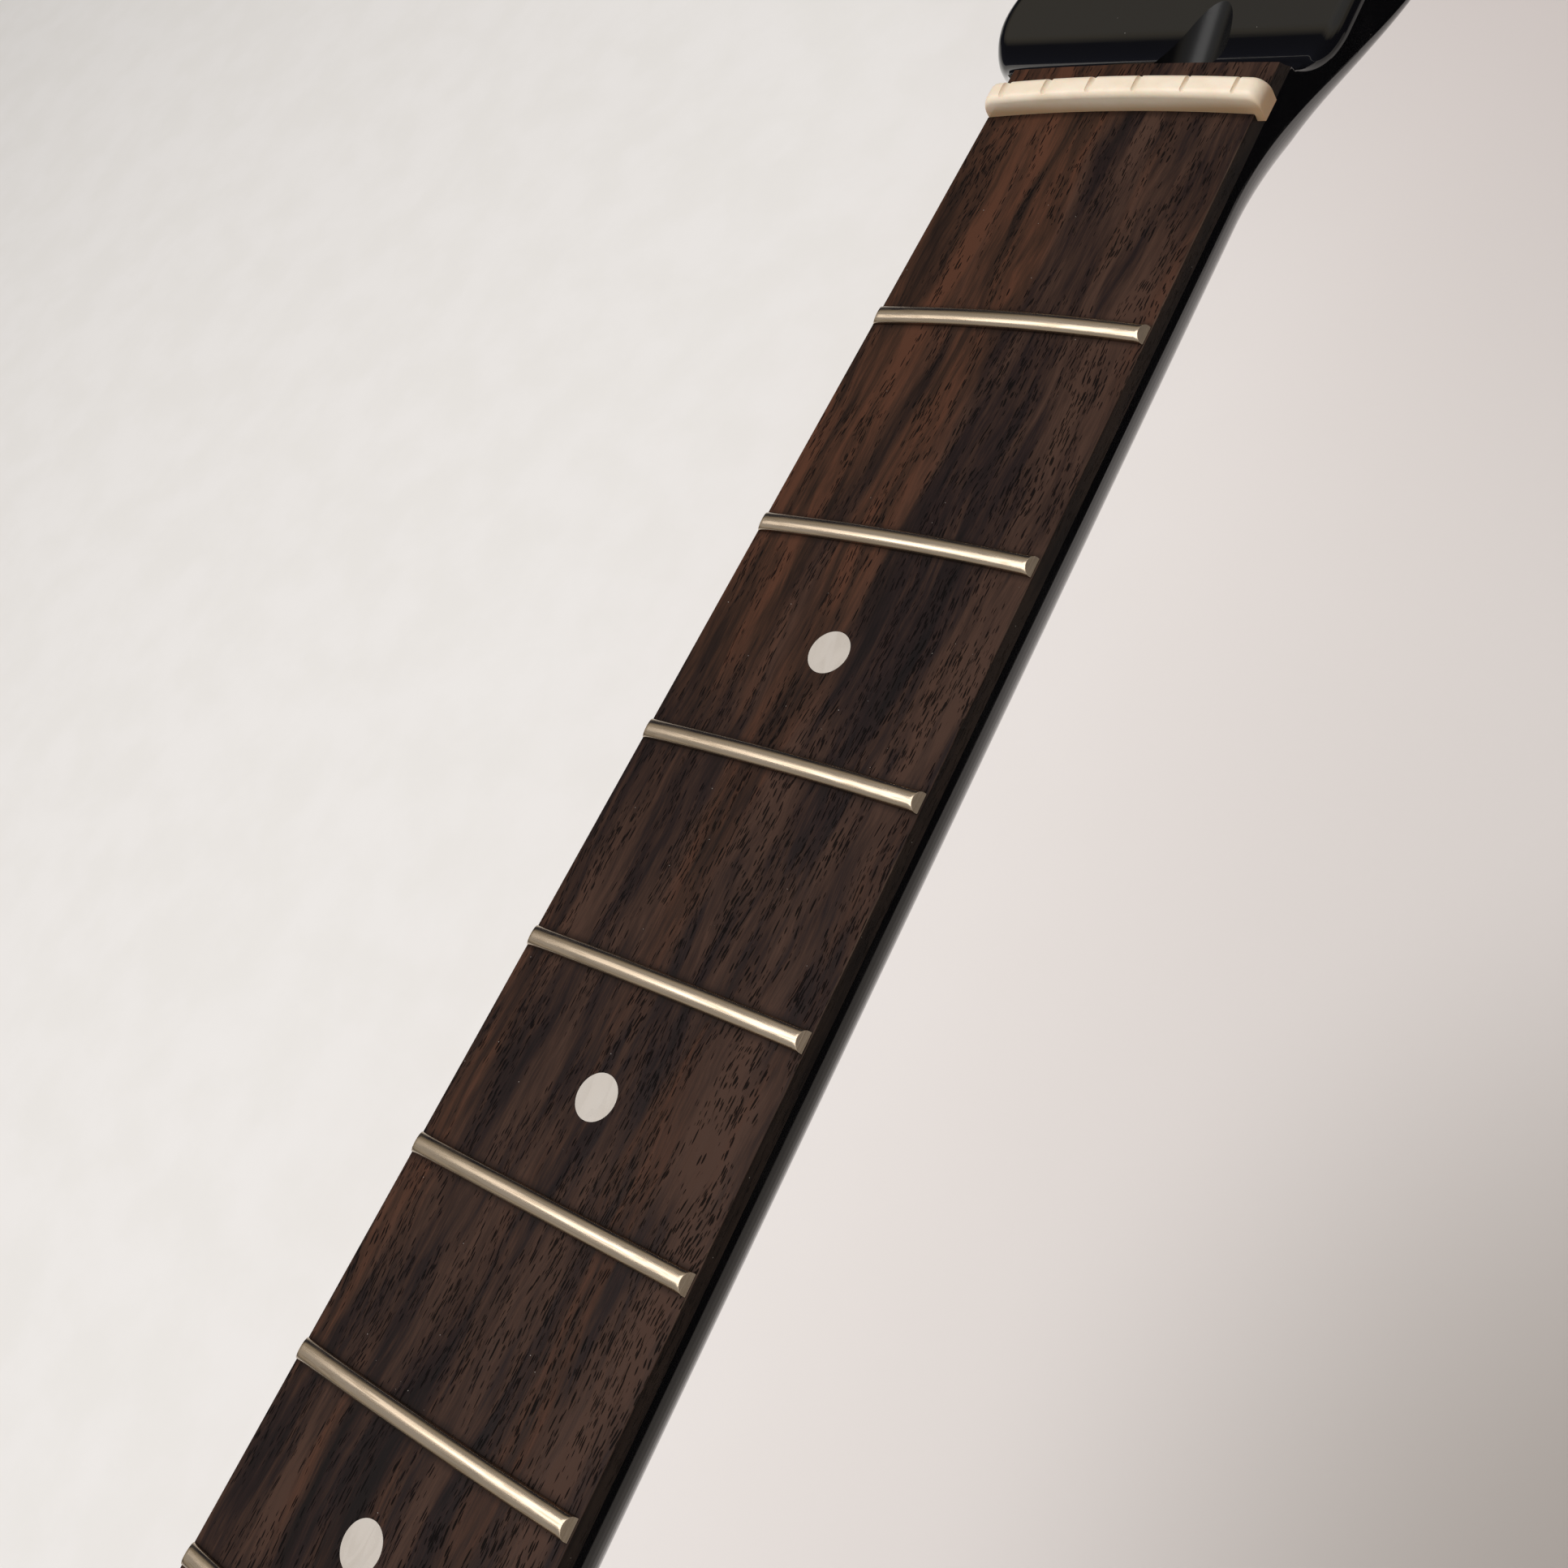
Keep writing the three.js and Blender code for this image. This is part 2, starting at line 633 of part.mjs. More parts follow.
// Round nut with a hexagon socket that faces the access groove
function trussRodAdjustingNut() {
  const body = rodSolid(rodNutDiameter, rodNutBack + seatGap, rodNutFront, roundSides);
  const socketDiameter = socketAcrossFlats / Math.cos(Math.PI / hexagonSides);
  const socket = rodSolid(socketDiameter, rodNutFront - socketDepth, rodNutFront + overrun, hexagonSides);
  return body.subtract(socket);
}

// Finishes
const finishes = {
  lacquer: { color: 0x0b0a0a, roughness: 0.12, metalness: 0 },
  rosewood: { color: 0x3b2a24, roughness: 0.6, metalness: 0 },
  bone: { color: 0xeadfc6, roughness: 0.45, metalness: 0 },
  fretWire: { color: 0xb9ad9a, roughness: 0.28, metalness: 1 },
  pearl: { color: 0xd9d3cb, roughness: 0.3, metalness: 0 },
  steel: { color: 0x7f8184, roughness: 0.4, metalness: 1 },
  brass: { color: 0xb08d4a, roughness: 0.4, metalness: 1 },
};

const guitarNeck = new THREE.Group();

function addPart(name, solid, finish) {
  const mesh = new THREE.Mesh(toGeometry(solid), new THREE.MeshStandardMaterial(finishes[finish]));
  mesh.name = name;
  guitarNeck.add(mesh);
}

addPart('neck', neck(), 'lacquer');
addPart('fingerboard', fingerboard(), 'rosewood');
addPart('nut', nut(), 'bone');
fretNumbers.forEach((fret) => addPart(`fret_${twoDigits(fret)}`, fretWire(fret), 'fretWire'));
dotList().forEach((dot) => addPart(`dot_${dot.name}`, faceDot(dot), 'pearl'));
dotList().forEach((dot) => addPart(`side_dot_${dot.name}`, sideDot(dot), 'pearl'));
addPart('truss_rod_threaded_rod', trussRodThreadedRod(), 'steel');
addPart('truss_rod_bar', trussRodBar(), 'steel');
addPart('truss_rod_front_block', trussRodBlock(frontBlockBack), 'brass');
addPart('truss_rod_heel_block', trussRodBlock(heelBlockBack), 'brass');
addPart('truss_rod_adjusting_nut', trussRodAdjustingNut(), 'steel');

export default guitarNeck;
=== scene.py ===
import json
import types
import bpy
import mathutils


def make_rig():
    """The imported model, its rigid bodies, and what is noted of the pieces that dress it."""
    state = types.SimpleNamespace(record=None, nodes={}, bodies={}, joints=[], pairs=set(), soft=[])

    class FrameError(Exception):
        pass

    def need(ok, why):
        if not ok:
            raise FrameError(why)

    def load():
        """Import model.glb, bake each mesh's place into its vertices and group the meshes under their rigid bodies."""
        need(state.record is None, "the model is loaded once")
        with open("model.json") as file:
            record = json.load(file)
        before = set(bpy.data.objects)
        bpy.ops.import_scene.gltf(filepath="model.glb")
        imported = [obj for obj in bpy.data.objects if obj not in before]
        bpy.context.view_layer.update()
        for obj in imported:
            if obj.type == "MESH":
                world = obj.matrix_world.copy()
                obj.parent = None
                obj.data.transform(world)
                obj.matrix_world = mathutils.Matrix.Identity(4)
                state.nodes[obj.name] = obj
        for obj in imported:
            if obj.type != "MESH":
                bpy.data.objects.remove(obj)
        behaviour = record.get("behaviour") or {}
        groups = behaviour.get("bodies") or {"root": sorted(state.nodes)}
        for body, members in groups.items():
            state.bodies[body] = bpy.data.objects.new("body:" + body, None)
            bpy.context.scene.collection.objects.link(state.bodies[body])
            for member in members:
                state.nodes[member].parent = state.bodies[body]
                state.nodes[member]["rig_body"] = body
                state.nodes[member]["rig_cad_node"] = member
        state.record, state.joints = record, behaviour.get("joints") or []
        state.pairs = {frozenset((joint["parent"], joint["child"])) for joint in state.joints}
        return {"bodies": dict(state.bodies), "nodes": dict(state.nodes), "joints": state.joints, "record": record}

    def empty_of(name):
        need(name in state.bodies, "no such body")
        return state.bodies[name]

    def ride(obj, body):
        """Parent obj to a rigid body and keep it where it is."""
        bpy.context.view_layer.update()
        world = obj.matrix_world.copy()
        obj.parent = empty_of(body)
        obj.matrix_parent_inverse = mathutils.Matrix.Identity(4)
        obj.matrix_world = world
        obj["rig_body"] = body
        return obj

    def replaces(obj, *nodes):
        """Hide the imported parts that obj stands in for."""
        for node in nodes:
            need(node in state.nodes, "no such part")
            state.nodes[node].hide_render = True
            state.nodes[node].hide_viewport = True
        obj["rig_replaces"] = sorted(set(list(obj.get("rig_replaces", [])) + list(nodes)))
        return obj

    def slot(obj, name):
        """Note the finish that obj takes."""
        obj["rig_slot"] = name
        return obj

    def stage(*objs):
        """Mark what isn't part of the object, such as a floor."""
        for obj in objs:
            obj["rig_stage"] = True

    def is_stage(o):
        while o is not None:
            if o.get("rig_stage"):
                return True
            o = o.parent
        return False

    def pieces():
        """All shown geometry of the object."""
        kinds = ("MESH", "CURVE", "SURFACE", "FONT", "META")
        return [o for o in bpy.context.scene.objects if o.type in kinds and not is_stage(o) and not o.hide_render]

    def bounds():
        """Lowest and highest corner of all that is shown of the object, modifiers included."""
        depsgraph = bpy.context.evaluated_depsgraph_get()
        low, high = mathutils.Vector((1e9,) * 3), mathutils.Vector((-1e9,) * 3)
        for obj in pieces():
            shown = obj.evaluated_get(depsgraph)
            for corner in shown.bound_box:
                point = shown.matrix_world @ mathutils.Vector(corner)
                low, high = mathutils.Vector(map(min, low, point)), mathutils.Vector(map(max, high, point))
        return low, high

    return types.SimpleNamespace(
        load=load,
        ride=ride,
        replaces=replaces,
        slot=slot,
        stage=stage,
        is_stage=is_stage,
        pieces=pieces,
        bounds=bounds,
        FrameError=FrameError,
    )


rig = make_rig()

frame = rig.load()

from collections import namedtuple
import json
import math

import bmesh
import bpy
from mathutils import Euler, Vector

cad_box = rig.bounds()
scene = bpy.context.scene

# Shapes are worked out in millimetres with the same driving dimensions as the solids, then made in metres.
MM = 0.001

# Playing length
SCALE_LENGTH = 647.7
FRET_COUNT = 22
OCTAVE_FRET = 12
MARKED_FRETS = (3, 5, 7, 9, 12, 15, 17, 19, 21)

# Fingerboard
BOARD_WIDTH_AT_NUT = 42
BOARD_WIDTH_AT_OCTAVE = 52.1
BOARD_RADIUS = 241.3
BOARD_THICKNESS = 3.7
BOARD_PAST_LAST_FRET = 8
BOARD_PAST_HEEL = 10.5
BOARD_BEHIND_NUT = 7.2
BOARD_CORNER_RADIUS = 3
BOARD_EDGE_RADIUS = 0.22

# Frets
CROWN_WIDTH = 2.7
CROWN_HEIGHT = 1.15
CROWN_SHOULDER_HEIGHT = 0.3
TANG_WIDTH = 0.55
TANG_DEPTH = 1.6
TANG_SHORT_OF_EDGE = 1.6
FRET_SHORT_OF_EDGE = 0.15
FRET_END_BEVEL = math.radians(33)
FRET_EDGE_BREAK = 0.05
FILED_FACE_TURN = 0.3

# Position dots
DOT_DIAMETER = 6
DOT_DEPTH = 1.6
OCTAVE_DOT_SPACING = 24
DOT_TOWARDS_BODY = 0.6
SIDE_DOT_HEIGHT_SHARE = 0.8
SIDE_DOT_DEPTH = 3
OCTAVE_SIDE_DOT_SPACING = 6

# Nut and strings
NUT_THICKNESS = 3.5
NUT_HEIGHT = 3.3
NUT_SEAT_DEPTH = 2.2
NUT_EDGE_RADIUS = 1
NUT_END_RADIUS = 1.8
NUT_PAST_EDGE = 0.5
NUT_TOWARDS_BODY = 1
NUT_TOWARDS_TREBLE = 0.7
STRING_COUNT = 6
STRING_SPREAD_AT_NUT = 36
STRING_SPREAD_AT_BRIDGE = 52.5
THICKEST_STRING_SLOT = 1.3
THINNEST_STRING_SLOT = 0.6
STRING_SLOT_DEPTH = 0.18
STRING_SLOT_FALL = math.radians(11)

# Neck shaft
DEPTH_AT_NUT = 18.8
DEPTH_AT_OCTAVE = 21.6
STRAIGHT_SIDE = 1.5
BACK_EXPONENT = 1.9

# Heel
HEEL_DEPTH = 25
HEEL_LENGTH = 76
HEEL_BLEND_LENGTH = 34
HEEL_EDGE_RADIUS = 1.8
HEEL_CORNER_RADIUS = 6
SCREW_SPACING_ACROSS = 38.1
SCREW_SPACING_ALONG = 50.8
SCREW_HOLE_DIAMETER = 3.2
SCREW_HOLE_DEPTH = 16
SCREWS_FROM_HEEL_END = 12.5

# Headstock
HEAD_THICKNESS = 14.4
HEAD_LENGTH = 190
HEAD_WIDTH_TREBLE = 34
HEAD_TIP_LENGTH = 25
HEAD_EDGE_RADIUS = 2.4
BACK_BLEND_BEFORE_NUT = 12
BACK_BLEND_BEHIND_NUT = 50
SHOULDER_START = 6
SHOULDER_END = 33
SHOULDER_LEAD_EXPONENT = 0.7
FLARE_START = 28
FLARE_END = 150
RAMP_RADIUS = 18.8

# Tuner holes
TUNER_HOLE_DIAMETER = 10
TUNER_HOLE_LIP = 0.45
TUNER_POST_RADIUS = 3
TUNER_SPACING = 25.4
FIRST_TUNER_FROM_NUT = 37
TUNER_FROM_BASS_EDGE = 16.3

# Truss rod
CHANNEL_WIDTH = 6.4
CHANNEL_DEPTH = 9.7
ROD_DIAMETER = 4.2
ROD_ABOVE_CHANNEL_FLOOR = 0.4
ROD_NUT_DIAMETER = 8.4
ROD_NUT_LENGTH = 11
ROD_NUT_BEHIND_NUT = 6.5
ROD_NUT_CHAMFER = 0.5
SOCKET_ACROSS_FLATS = 4
SOCKET_DEPTH = 8
ACCESS_DIAMETER = 9.6
ACCESS_RISE = math.radians(15)
ACCESS_BEND_RADIUS = 12
CHANNEL_SHORT_OF_HEEL_END = 12

# Clearances and overruns
SEAT_GAP = 0.05
RUNNING_GAP = 0.1
OVERRUN = 3

# Facet counts
ROUND_SIDES = 64
SMALL_SIDES = 32
ACROSS_STEPS = 24
CROWN_STEPS = 20
CORNER_STEPS = 8
EDGE_STEPS = 4
BACK_STEPS = 24
HEXAGON_SIDES = 6
RING_COUNTS = {
    "heel_end": 8, "heel_corner": 12, "heel": 6, "heel_blend": 40, "shaft": 40, "back_blend": 24, "ramp": 40,
    "crest": 30, "flare": 50, "straight": 4, "tip": 60,
}
TIP_SAMPLES = 240
SUPPORT_INSET = 0.4
SUPPORT_SHARE = 0.25
SHARP_ANGLE = math.radians(32)
MERGE_DISTANCE = 0.0005

# The photograph's viewpoint, in metres and degrees
CAMERA_PLACE = (0.14698, 0.265145, 0.19339)
CAMERA_TURN = (31.9905, 29.4410, 30.9064)
CAMERA_LENS = 43.44
CAMERA_SENSOR = 36
CAMERA_CLIP_START = 0.01

# Stage and light, in metres
FLOOR_Z = -0.25
FLOOR_OUTLINE = ((-40, -40), (40, -40), (40, 40), (-40, 40))
# A card seen only in reflections, painted dark to stand in for shade on the floor beside the neck
CARD_Z = -0.15
CARD_OUTLINE = ((0.138, 0), (0.3, 0), (0.3, 0.78), (0.1, 0.78), (0.1, 0.62), (0.138, 0.36))
LAMP_AIM = (0, 0.3, 0.02)
LAMPS = (  # name, direction, distance, size, power and colour
    ("overhead", (-0.08, -0.1, 1), 1.5, 1.6, 21.5, (1, 0.985, 0.97)),
    ("bass_side", (-0.66, 0, 0.75), 1.2, 0.42, 0.7, (1, 0.95, 0.88)),
)
SKY_TILT = 0.3
SKY_STOPS = (
    (0.22, (0.025, 0.026, 0.038)),
    (0.34, (0.36, 0.315, 0.24)),
    (0.46, (0.5, 0.465, 0.405)),
    (0.65, (0.48, 0.475, 0.47)),
)

# Paper colours as the screen shows them, and painted shadows on it as (centre, reach, colour)
PAPER_LIGHT = (239, 237, 236)
PAPER_DARK = (236, 234, 232)
# Painted shade: the paper turns pinker and darker towards the treble side
PAPER_PINK_SHADE = (235, 229, 227)
PINK_SHADE_REACH = (-0.4, -0.05)
# Painted shadows on the paper, one far beyond the tip and one near the treble side
PAINTED_PAPER_SHADOWS = (
    ((0, 0.9, FLOOR_Z), (0.42, 0.1), (206, 198, 196)),
    ((0.16, 0.27, FLOOR_Z), (0.25, 0.07), (174, 167, 162)),
)

# Wood colours along the tone, from dark to light
PURPLE_WOOD = (
    (0.39, (0.005, 0.0028, 0.003)),
    (0.47, (0.0138, 0.0071, 0.0066)),
    (0.53, (0.0285, 0.0145, 0.0104)),
    (0.62, (0.053, 0.0275, 0.019)),
)
RED_WOOD = (
    (0.39, (0.0062, 0.0031, 0.0026)),
    (0.46, (0.0165, 0.0081, 0.0055)),
    (0.53, (0.036, 0.0162, 0.0096)),
    (0.62, (0.072, 0.0285, 0.0158)),
)

# Patterns of the wood and the bone in millimetres, painted sheen and shade among them, with the pores as (sizes, seed,
# reach)
TREBLE_FADE = (-14, 12)
NUT_FADE = (-120, -50)
HEART_MIDDLE = 9
HEART_FADE = (11, 2)
# Painted sheen, lighter towards the treble edge
TREBLE_SHEEN_FADE = (9, 15)
# Painted shade with some grime, beyond each fret's foot
FRET_SHADE_REACH = 1
PORE_LAYERS = (((0.34, 3.8, 0.36), 6, 0.26), ((0.4, 2.6, 0.4), 7, 0.25), ((0.24, 1.8, 0.24), 10, 0.23))
DASH_CHANCE = 0.35
DASH_KEPT = (0.3, 0.36)
DASH_RIM = (0.05, -0.03)
# Painted shade on the nut, darker towards its foot, as heights over the board's top
BONE_SHADE_FADE = (2.2, -0.2)
SEED_STEPS = (7.31, 3.17, 5.93)

# Bodies of the record, and the truss rod's nodes that keep their solid
BODY = "neck_body"
ADJUSTER = "truss_rod_adjuster"
KEPT_NODES = (("threaded_rod", "steel"), ("bar", "steel"), ("front_block", "brass"), ("heel_block", "brass"))


def fret_distance(fret):
    return SCALE_LENGTH * (1 - 2 ** (-fret / OCTAVE_FRET))


FRETS = range(1, FRET_COUNT + 1)
BOARD_END = -fret_distance(FRET_COUNT) - BOARD_PAST_LAST_FRET
HEEL_END = BOARD_END + BOARD_PAST_HEEL
HEEL_FRONT = HEEL_END + HEEL_LENGTH
SEAT_ALONG = HEEL_END + SCREWS_FROM_HEEL_END + SCREW_SPACING_ALONG / 2
TOP_Z = HEEL_DEPTH
NUT_FRONT = -NUT_TOWARDS_BODY
GLUE_Z = TOP_Z - BOARD_THICKNESS
FACE_Z = HEAD_THICKNESS
TIP_START = HEAD_LENGTH - HEAD_TIP_LENGTH
ACCESS_CUT_LENGTH = HEAD_LENGTH / 3
BOARD_AXIS_Z = TOP_Z - BOARD_RADIUS
BOARD_TAPER = (BOARD_WIDTH_AT_OCTAVE - BOARD_WIDTH_AT_NUT) / fret_distance(OCTAVE_FRET)
DEPTH_TAPER = (DEPTH_AT_OCTAVE - DEPTH_AT_NUT) / fret_distance(OCTAVE_FRET)
RAMP_END = BOARD_BEHIND_NUT + math.sqrt(RAMP_RADIUS ** 2 - (RAMP_RADIUS - (TOP_Z - FACE_Z)) ** 2)
GLUE_END = RAMP_END - math.sqrt(RAMP_RADIUS ** 2 - (RAMP_RADIUS - (GLUE_Z - FACE_Z)) ** 2)
BOARD_BOTTOM_Z = GLUE_Z + SEAT_GAP
CHANNEL_FLOOR_Z = GLUE_Z - CHANNEL_DEPTH
ROD_Z = CHANNEL_FLOOR_Z + ROD_ABOVE_CHANNEL_FLOOR + ROD_DIAMETER / 2
CHANNEL_END = HEEL_END + CHANNEL_SHORT_OF_HEEL_END
ROD_NUT_FRONT = ROD_NUT_BEHIND_NUT
ROD_NUT_BACK = ROD_NUT_FRONT - ROD_NUT_LENGTH
CAD_LEFT = cad_box[0][0] / MM


def mix(a, b, share):
    return a + (b - a) * share


def blend(low, high, value):
    """From 0 to 1 with level ends."""
    share = min(1, max(0, (value - low) / (high - low)))
    return share * share * (3 - 2 * share)


def shares(count):
    return [i / count for i in range(count + 1)]


def quarter_turn(count):
    return [share * math.pi / 2 for share in shares(count)]


def full_turn(sides):
    return [2 * math.pi * i / sides for i in range(sides)]


def between(low, high, count):
    return [mix(low, high, share) for share in shares(count)[:-1]]


def quarter_arc(width, height, count):
    """A corner at (0, 0) rounded off, from (0, height) to (width, 0)."""
    return [(width * (1 - math.cos(a)), height * (1 - math.sin(a))) for a in quarter_turn(count)]


def into_corner(start, radius, count):
    """Places along a rounded corner, closer together where it turns faster."""
    return [start + along for along, _ in quarter_arc(radius, radius, count)]


def round_drop(radius, distance):
    """How far a rounded edge lies below its face, at a distance in from the side."""
    inside = radius - min(radius, max(0, distance))
    return radius - math.sqrt(radius ** 2 - inside ** 2)


def place(x, along, z):
    """Along is counted from the zero end of the playing length, positive towards the tip."""
    return Vector((x, along - SEAT_ALONG, z)) * MM


def board_half_width(along):
    return (BOARD_WIDTH_AT_NUT - along * BOARD_TAPER) / 2


def board_top_z(x):
    return BOARD_AXIS_Z + math.sqrt(BOARD_RADIUS ** 2 - x ** 2)


def over_board(x, along, height):
    return place(x, along, BOARD_AXIS_Z + math.sqrt((BOARD_RADIUS + height) ** 2 - x ** 2))


def holder(name, data):
    """An object in the scene for a mesh, a lamp or the camera."""
    item = bpy.data.objects.new(name, data)
    scene.collection.objects.link(item)
    return item


def new_object(name, bm):
    """A smooth-shaded object from a bmesh, with its sharp edges kept."""
    bmesh.ops.remove_doubles(bm, verts=bm.verts, dist=MERGE_DISTANCE * MM)
    bmesh.ops.dissolve_degenerate(bm, edges=bm.edges, dist=MERGE_DISTANCE * MM)
    bmesh.ops.recalc_face_normals(bm, faces=bm.faces)
    mesh = bpy.data.meshes.new(name)
    bm.to_mesh(mesh)
    bm.free()
    piece = holder(name, mesh)
    finish_shading(piece)
    return piece


def finish_shading(piece):
    piece.data.shade_smooth()
    piece.data.set_sharp_from_angle(angle=SHARP_ANGLE)


def add_loft(bm, rings, end_cap=True):
    """Faces through rings of points, with a cap at the start, and one at the end unless that is a line."""
    rows = [[bm.verts.new(point) for point in ring] for ring in rings]
    for near, far in zip(rows, rows[1:]):
        for i in range(len(near)):
            j = (i + 1) % len(near)
            bm.faces.new((near[i], near[j], far[j], far[i]))
    bm.faces.new(reversed(rows[0]))
    if end_cap:
        bm.faces.new(rows[-1])


def new_bmesh(add_bodies, *arguments):
    """A new bmesh with what the function adds to it."""
    bm = bmesh.new()
    add_bodies(bm, *arguments)
    return bm


def loft_object(name, rings, end_cap=True):
    return new_object(name, new_bmesh(add_loft, rings, end_cap))


def add_revolve(bm, start, axis, profile, sides):
    """A closed body round an axis from a list of (distance along it, radius)."""
    axis = Vector(axis).normalized()
    side = axis.orthogonal().normalized()
    other = axis.cross(side)
    spokes = [side * math.cos(turn) + other * math.sin(turn) for turn in full_turn(sides)]
    add_loft(bm, [
        [start + (axis * along + spoke * radius) * MM for spoke in spokes] for along, radius in profile
    ])


def add_box(bm, low, high):
    corners = [Vector((x, y, z)) for x in (low.x, high.x) for y in (low.y, high.y) for z in (low.z, high.z)]
    verts = [bm.verts.new(corner) for corner in corners]
    for face in ((0, 1, 3, 2), (4, 6, 7, 5), (0, 4, 5, 1), (2, 3, 7, 6), (0, 2, 6, 4), (1, 5, 7, 3)):
        bm.faces.new([verts[i] for i in face])


def combine(piece, operation, bm):
    """Joins the closed bodies with the piece, or cuts them out of it."""
    tool = new_object("tool", bm)
    modifier = piece.modifiers.new("combine", "BOOLEAN")
    modifier.operation = operation
    modifier.solver = "EXACT"
    modifier.object = tool
    graph = bpy.context.evaluated_depsgraph_get()
    mesh = bpy.data.meshes.new_from_object(piece.evaluated_get(graph))
    piece.modifiers.clear()
    old = piece.data
    piece.data = mesh
    mesh.name = old.name
    bpy.data.meshes.remove(old)
    bpy.data.objects.remove(tool)
    finish_shading(piece)


def cut(piece, *cutters):
    """Cuts out what each of the functions adds."""
    for add_bodies in cutters:
        combine(piece, "DIFFERENCE", new_bmesh(add_bodies))
    return piece


# Neck
def string_x(share, along):
    spread = STRING_SPREAD_AT_NUT
    spread -= along * (STRING_SPREAD_AT_BRIDGE - STRING_SPREAD_AT_NUT) / SCALE_LENGTH
    return (share - 1 / 2) * spread


def tuner_places():
    places = []
    for i, share in enumerate(shares(STRING_COUNT - 1)):
        along = FIRST_TUNER_FROM_NUT + i * TUNER_SPACING
        places.append((string_x(share, along) - TUNER_POST_RADIUS, along))
    return places


TUNER_PLACES = tuner_places()
FIRST_TUNER, LAST_TUNER = TUNER_PLACES[0], TUNER_PLACES[-1]
TUNER_LINE_SLOPE = (LAST_TUNER[0] - FIRST_TUNER[0]) / (LAST_TUNER[1] - FIRST_TUNER[1])


def bass_line_x(along):
    line = FIRST_TUNER[0] + (along - FIRST_TUNER[1]) * TUNER_LINE_SLOPE
    return line - TUNER_FROM_BASS_EDGE * math.hypot(1, TUNER_LINE_SLOPE)


def into_tip(along):
    """From 0 where the tip starts to 1 at its end."""
    return max(0, (along - TIP_START) / HEAD_TIP_LENGTH)


def outline_at(along):
    """Middle and half width of the wood."""
    half = board_half_width(along)
    into_shoulder = max(0, along - SHOULDER_START) / (SHOULDER_END - SHOULDER_START)
    bass = mix(-half, bass_line_x(along), blend(0, 1, into_shoulder ** SHOULDER_LEAD_EXPONENT))
    treble = mix(half, HEAD_WIDTH_TREBLE, blend(FLARE_START, FLARE_END, along))
    full = (treble - bass) / 2 * math.sqrt(max(0, 1 - into_tip(along) ** 2))
    return (bass + treble) / 2, full - round_drop(HEEL_CORNER_RADIUS, along - HEEL_END)


def tip_outline():
    points = []
    for angle in quarter_turn(TIP_SAMPLES):
        along = TIP_START + HEAD_TIP_LENGTH * math.sin(angle)
        middle, half = outline_at(along)
        points += [(middle - half, along), (middle + half, along)]
    return points


TIP_OUTLINE = tip_outline()


def inside_outline(x, along):
    """How far in from the wood's edge a place lies, seen from above, with x counted from the middle."""
    middle, half = outline_at(along)
    if along > TIP_START:
        return min(math.hypot(middle + x - px, along - py) for px, py in TIP_OUTLINE)
    if along > HEEL_END + HEEL_CORNER_RADIUS:
        return half - abs(x)
    into_side = HEEL_CORNER_RADIUS - (board_half_width(along) - abs(x))
    into_end = HEEL_CORNER_RADIUS - (along - HEEL_END)
    if into_side > 0 and into_end > 0:
        return HEEL_CORNER_RADIUS - math.hypot(into_side, into_end)
    return HEEL_CORNER_RADIUS - max(into_side, into_end)


def ramp_z(along):
    return FACE_Z + RAMP_RADIUS - math.sqrt(max(0, RAMP_RADIUS ** 2 - (RAMP_END - along) ** 2))


def wood_top_z(along):
    if along >= RAMP_END:
        return FACE_Z
    if along <= GLUE_END:
        return GLUE_Z
    return ramp_z(along)


def with_supports(points):
    """Adds two points to each stretch, near its ends where it is long, so that flat faces shade flat."""
    result = []
    for (x, z), (next_x, next_z) in zip(points, points[1:]):
        result.append((x, z))
        length = math.hypot(next_x - x, next_z - z)
        if length > SUPPORT_INSET:
            share = min(SUPPORT_SHARE, SUPPORT_INSET / length)
            result.append((mix(x, next_x, share), mix(z, next_z, share)))
            result.append((mix(next_x, x, share), mix(next_z, z, share)))
        else:
            result += [(x, z)] * 2
    return result + [points[-1]]


def heel_share(along):
    """One along the heel, falling to nothing at the end of its blend."""
    return 1 - blend(HEEL_FRONT, HEEL_FRONT + HEEL_BLEND_LENGTH, along)


def edge_radius(along):
    return mix(HEAD_EDGE_RADIUS, HEEL_EDGE_RADIUS, heel_share(along))


def top_corner(along, half):
    """From the top face round the edge to the side, as (distance out, height)."""
    top = wood_top_z(along)
    radius = HEAD_EDGE_RADIUS * blend(0, RAMP_END, along) if along > GLUE_END else 0
    width = mix(min(half, radius), half, into_tip(along) ** 2)
    return [(half - out, top - down) for out, down in reversed(quarter_arc(width, radius, CORNER_STEPS))]


def back_curve(along, half):
    """From the side to the middle of the back: round along the shaft, flat at heel and headstock."""
    flat_share = max(heel_share(along), blend(-BACK_BLEND_BEFORE_NUT, BACK_BLEND_BEHIND_NUT, along))
    shaft_bottom = TOP_Z - DEPTH_AT_NUT + along * DEPTH_TAPER
    bottom = shaft_bottom * (1 - flat_share)
    edge = edge_radius(along)
    width = mix(min(half, mix(half, edge, flat_share)), half, into_tip(along) ** 2)
    height = mix(GLUE_Z - STRAIGHT_SIDE - shaft_bottom, edge, flat_share)
    power = 2 / mix(BACK_EXPONENT, 2, flat_share)
    curve = [
        (half - width * (1 - math.cos(angle) ** power), bottom + height * (1 - math.sin(angle) ** power))
        for angle in quarter_turn(BACK_STEPS)
    ]
    return curve + [(0, bottom)]


def rolled(points, along, face_z, way):
    """The points on a face whose rounded edge follows the outline at the heel's end or the tip."""
    edge = edge_radius(along)
    return [(x, face_z + way * round_drop(edge, inside_outline(x, along))) for x, _ in points]


